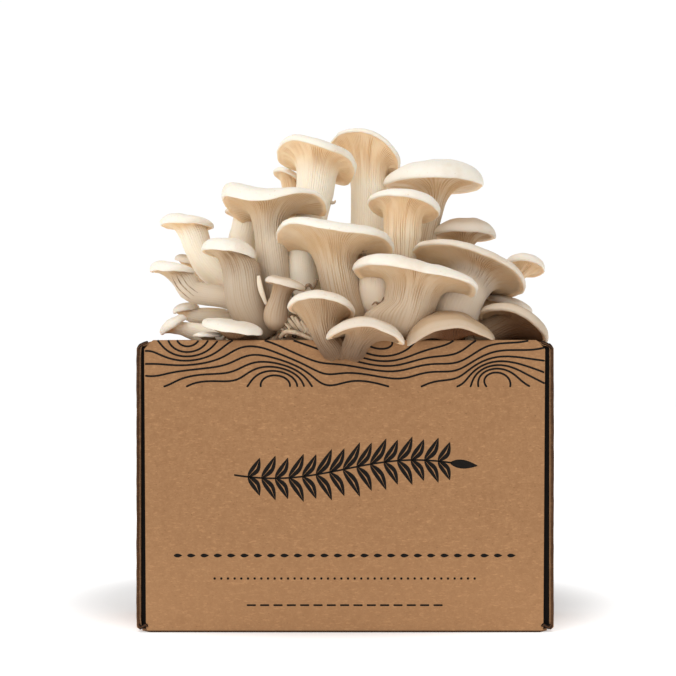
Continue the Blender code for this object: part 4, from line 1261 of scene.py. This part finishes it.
class Print:
    """Flat ink shapes on the lid, collected into one mesh."""

    def __init__(self):
        self.points = []
        self.faces = []
        self.count = 0

    def line(self, path, width):
        """A line of even width with round ends."""
        path = np.asarray(path, dtype=float)
        ahead = np.roll(path, -1, axis=0) - np.roll(path, 1, axis=0)
        ahead[0] = path[1] - path[0]
        ahead[-1] = path[-1] - path[-2]
        way = unit(ahead)
        side = np.stack([-way[:, 1], way[:, 0]], -1) * width / 2
        ends = [path[0] - way[0] * width * 0.35, path[-1] + way[-1] * width * 0.35]
        path = np.concatenate([[ends[0]], path, [ends[1]]])
        side = np.concatenate([side[:1] * 0.55, side, side[-1:] * 0.55])
        grid = np.stack([path - side, path + side], axis=1).reshape(-1, 2)
        self._put(grid, open_quads(self.count, len(path), 2))

    def shape(self, outline):
        """A filled shape, as a fan round its middle."""
        outline = np.asarray(outline, dtype=float)
        grid = np.concatenate([outline, outline.mean(axis=0)[None]])
        self._put(grid, fan(self.count, len(outline), self.count + len(outline)))

    def leaf(self, tip, foot, width):
        left, right = leaf_edges(tip, foot, width)
        self.shape(left + right[::-1])

    def _put(self, grid, faces):
        flat = np.stack([grid[:, 0], np.full(len(grid), -HALF_DEPTH - INK_LIFT), grid[:, 1]], -1)
        self.points.append(flat)
        self.faces.append(faces)
        self.count += len(grid)

    def finish(self, name, ink):
        points = np.concatenate(self.points)
        facing = []
        for group in self.faces:
            a, b, c = (points[group[:, k]] for k in range(3))
            away = np.cross(b - a, c - a)[:, 1] > 0
            facing.append(np.where(away[:, None], group[:, ::-1], group))
        piece(name, points, facing, ink, "kraft_board", rounded=False, closed=False)


def leaf_edges(tip, foot, width, bow=0.0):
    """The left and the right edge of a pointed leaf, from its foot to its tip."""
    tip, foot = np.array(tip, dtype=float), np.array(foot, dtype=float)
    along = tip - foot
    side = np.array([-along[1], along[0]]) / np.linalg.norm(along)
    left = []
    right = []
    for t in np.linspace(0, 1, 15):
        middle = foot + along * t + side * bow * math.sin(math.pi * t)
        wide = width * math.sin(math.pi * t**0.8) ** 0.9 / 2
        left.append(middle + side * wide)
        right.append(middle - side * wide)
    return left, right


def make_print(ink):
    """A band of wood grain along the top edge, a leafy sprig, and plain ornaments under it."""
    band = Print()
    for line in grain_lines(BAND_BOTTOM, BOX_HEIGHT - 0.4, LID_HALF + 0.2):
        cut = LID_CORNER[1] * np.clip((np.abs(line[:, 0]) - 113.5) / 6, 0, 1)
        keep = line[:, 1] < BOX_HEIGHT - 0.2 - cut
        if keep.sum() > 6:
            band.line(line[keep], GRAIN_WIDTH)
    band.finish("print_band", ink)

    def on_stalk(x):
        return (x, SPRIG_HEIGHT + 5.5 * math.sin(x / 27.0))

    sprig = Print()
    sprig.line([on_stalk(x) for x in np.linspace(-66, 64, 120)], LINE_WIDTH)
    for number, x in enumerate(np.linspace(-58, 56, 15)):
        foot = on_stalk(x)
        size = 15 - 4 * abs(x) / 66 + (1.5 if number % 2 else 0)
        for side in (-1, 1):
            tip = (foot[0] + size * 0.62, foot[1] + side * size)
            edges = leaf_edges(tip, foot, LEAF_WIDTH, bow=-side * 1.3)
            middle = [(a + b) / 2 for a, b in zip(*edges)]
            for edge in edges:  # each half is a shape, with a gap along the middle of the leaf
                gap = [mix(m, e, 0.13) for m, e in zip(middle, edge)]
                sprig.shape(edge + gap[::-1])
    sprig.leaf((80, SPRIG_HEIGHT + 2), (63, on_stalk(64)[1]), LEAF_WIDTH)
    sprig.finish("print_sprig", ink)

    rules = Print()
    for x in np.arange(-100, 101, 8.0):
        rules.leaf((x + 2.6, LEAF_ROW), (x - 2.6, LEAF_ROW), 2.3)
    dot = [(DOT_RADIUS * math.cos(a), DOT_RADIUS * math.sin(a)) for a in np.linspace(0, TURN, 16)[:-1]]
    for x in np.arange(-78, 79, 4.0):
        rules.shape([(x + across, DOT_ROW + up) for across, up in dot])
    for x in np.arange(-56, 57, 8.0):
        rules.line([(x - 2.4, DASH_ROW), (x, DASH_ROW), (x + 2.4, DASH_ROW)], LINE_WIDTH)
    rules.finish("print_rules", ink)


# ---- Block and bag ----


def make_block(felt, film):
    """The overgrown block, and the film over it, cut open round the cluster with its edge curling up."""
    rng = np.random.default_rng(61)
    cols = 240
    angles = TURN * np.arange(cols) / cols
    edge = at_angles(rounded_outline(BLOCK_HALF, BLOCK_CORNER), angles)
    fuzz = bumps(rng, 14, 6, 0.5)
    levels = [(0.97, 2.6), (1.0, 3.6), (1.0, 60), (1.0, 120), (1.0, 167), (0.995, 168.6), (0.98, 169.4)]
    levels += [(share, 169.6) for share in np.linspace(0.95, 0.5, 14)]
    rings = np.array([level_ring(edge * share, height) for share, height in levels])
    rings[..., 2] += np.where(rings[..., 2] > 169, np.minimum(fuzz(rings) - 0.6, 0.1), 0)
    block = Shell()
    block.add(rings)
    block.finish("block_looks", felt, "mycelium", ("substrate_block",))

    wall = at_angles(rounded_outline(BAG_HALF, BAG_CORNER), angles)
    cut = at_angles(rounded_outline(BAG_OPENING_HALF, BAG_OPENING_CORNER), angles)
    opening = cut + np.array([FOOT_MIDDLE, 0.0])
    folds = waves(rng, (11, 17, 26, 39), 1.0)(angles)
    small = waves(rng, (47, 63, 80), 1.0)(angles)
    layers = []
    for offset in (0.0, -FILM):  # outside and inside
        loops = []
        for flat, height in ((wall, 2.2), (wall, 60), (wall, 120), (wall, 168.4), (wall * 0.99, 169.9)):
            loops.append(level_ring(flat + offset * unit(flat), height + offset))
        for t in (0.25, 0.5, 0.75, 0.9):
            loops.append(level_ring(mix(wall * 0.99, opening, t), 170.15 + 0.35 * folds * t + offset))
        for t in (0.3, 0.65, 1.0):
            flat = opening + unit(cut) * (1.2 * folds + 0.5 * small)[:, None] * t * 0.6
            loops.append(level_ring(flat, 170.3 + t * (3.0 + 1.6 * folds + 0.8 * small) + offset))
        layers.append(loops)
    rings = np.array(layers[0] + layers[1][::-1])
    faces = [wrap_quads(0, len(rings), cols), seam_quads(len(rings), cols)]
    piece("bag_looks", rings.reshape(-1, 3), faces, film, "bag_film", ("grow_bag",))


# ---- Stage ----


def stage_piece(name, points, faces, surface):
    mesh = bpy.data.meshes.new(name)
    mesh.from_pydata(points, [], faces)
    mesh.materials.append(surface)
    made = bpy.data.objects.new(name, mesh)
    bpy.context.scene.collection.objects.link(made)
    return made


def floor_paper():
    """White that glows a little round the box, and more farther off: painted light, which leaves a soft
    painted shadow round the box.
    """
    n = Nodes("floor", 0.95, Base_Color=(0.9, 0.9, 0.9, 1), Specular_IOR_Level=0.0,
              Emission_Color=(1, 1, 1, 1))
    middle = (SHADOW_MIDDLE[0] * MM, SHADOW_MIDDLE[1] * MM, 0)
    half = (SHADOW_HALF[0] * MM, SHADOW_HALF[1] * MM, 1)
    away = n.add("ShaderNodeVectorMath", {0: n.place, 1: middle}, operation="SUBTRACT").outputs[0]
    share = n.add("ShaderNodeVectorMath", {0: away, 1: half}, operation="DIVIDE").outputs[0]
    length = n.add("ShaderNodeVectorMath", {0: share}, operation="LENGTH").outputs["Value"]
    n.link("Emission Strength", n.ramp(length, *SHADOW_EDGE, FLOOR_GLOW, PAPER_GLOW))
    return n.material


def make_stage():
    """White floor and backdrop, wide lamps to the front left and overhead, and the photograph's camera."""
    reach = 4.2  # metres, as everything on the stage
    floor = [(-reach, -reach, 0), (reach, -reach, 0), (reach, reach, 0), (-reach, reach, 0)]
    stage_piece("floor", floor, [(0, 1, 2, 3)], floor_paper())

    white = Nodes("backdrop", 0.5, Base_Color=(0, 0, 0, 1), Specular_IOR_Level=0.0,
                  Emission_Color=(1, 1, 1, 1), Emission_Strength=BACKDROP_GLOW)
    around = 48
    angles = TURN * np.arange(around) / around
    points = []
    for height, wide in ((-0.5, 1.0), (1.0, 1.0), (2.6, 0.8), (3.4, 0.45)):
        points += [(4 * wide * math.cos(a), 4 * wide * math.sin(a), height) for a in angles]
    points.append((0, 0, 3.7))
    faces = wrap_quads(0, 4, around).tolist() + fan(3 * around, around, 4 * around).tolist()
    backdrop = stage_piece("backdrop", points, faces, white.material)
    backdrop.visible_diffuse = False
    backdrop.visible_glossy = False
    backdrop.visible_transmission = False
    backdrop.visible_volume_scatter = False
    backdrop.visible_shadow = False

    scene = bpy.context.scene
    world = bpy.data.worlds.new("studio")
    world.use_nodes = True
    sky = world.node_tree.nodes["Background"].inputs
    sky["Color"].default_value = (1, 1, 1, 1)
    sky["Strength"].default_value = SKY
    scene.world = world
    scene.view_settings.view_transform = "Standard"

    for name, azimuth, elevation, spread, strength in LIGHTS:
        light = bpy.data.lights.new(name, "SUN")
        light.angle = math.radians(spread)
        light.energy = strength * math.pi
        lamp = bpy.data.objects.new(name, light)
        a, e = math.radians(azimuth), math.radians(elevation)
        way = Vector((math.sin(a) * math.cos(e), -math.cos(a) * math.cos(e), math.sin(e)))
        lamp.rotation_euler = (-way).to_track_quat("-Z", "Y").to_euler()
        scene.collection.objects.link(lamp)

    camera = bpy.data.cameras.new("camera")
    distance = -HALF_DEPTH - EYE[1]
    camera.angle = 2 * math.atan(IMAGE_SIZE / 2 * LID_SCALE / distance)
    camera.clip_end = 50
    eye = bpy.data.objects.new("camera", camera)
    eye.location = Vector(EYE) * MM
    eye.rotation_euler = (math.pi / 2, 0, 0)
    scene.collection.objects.link(eye)
    scene.camera = eye


def corners(box):
    return [list(corner) for corner in box]


make_stage()
flesh_surface = mushroom_material()
grown = {m.name: make_mushroom(m, index, flesh_surface) for index, m in enumerate(MUSHROOMS)}
base_surface = base_material()
make_base(base_surface)
make_pins(base_surface)
make_small_bits(grown, flesh_surface, base_surface)
kraft_surface = kraft_material("kraft_board", rgb(165, 124, 86), rgb(148, 108, 73))
# painted shade: a darker copy of the liner for the rolled fold and its tabs
fold_shade_surface = kraft_material("kraft_fold_painted_shade", rgb(90, 60, 36), rgb(54, 32, 16))
# painted shade, less dark than the fold: a painted highlight line along the inner bead
ridge_shade_surface = kraft_material("kraft_ridge_painted_shade", rgb(134, 102, 74), rgb(98, 70, 46))
# painted shadow: near black liner for the back of the slot
slot_shadow_surface = kraft_material("kraft_shadow_black", rgb(15, 10, 6), rgb(9, 6, 4))
torn_surface = kraft_material("kraft_torn", rgb(206, 172, 134), rgb(186, 150, 112))
make_wrap(kraft_surface)
for wall_side in (-1, 1):
    make_side(wall_side, kraft_surface, fold_shade_surface, ridge_shade_surface, slot_shadow_surface)
make_top(kraft_surface, torn_surface)
make_print(ink_material())
make_block(mycelium_material(), film_material())
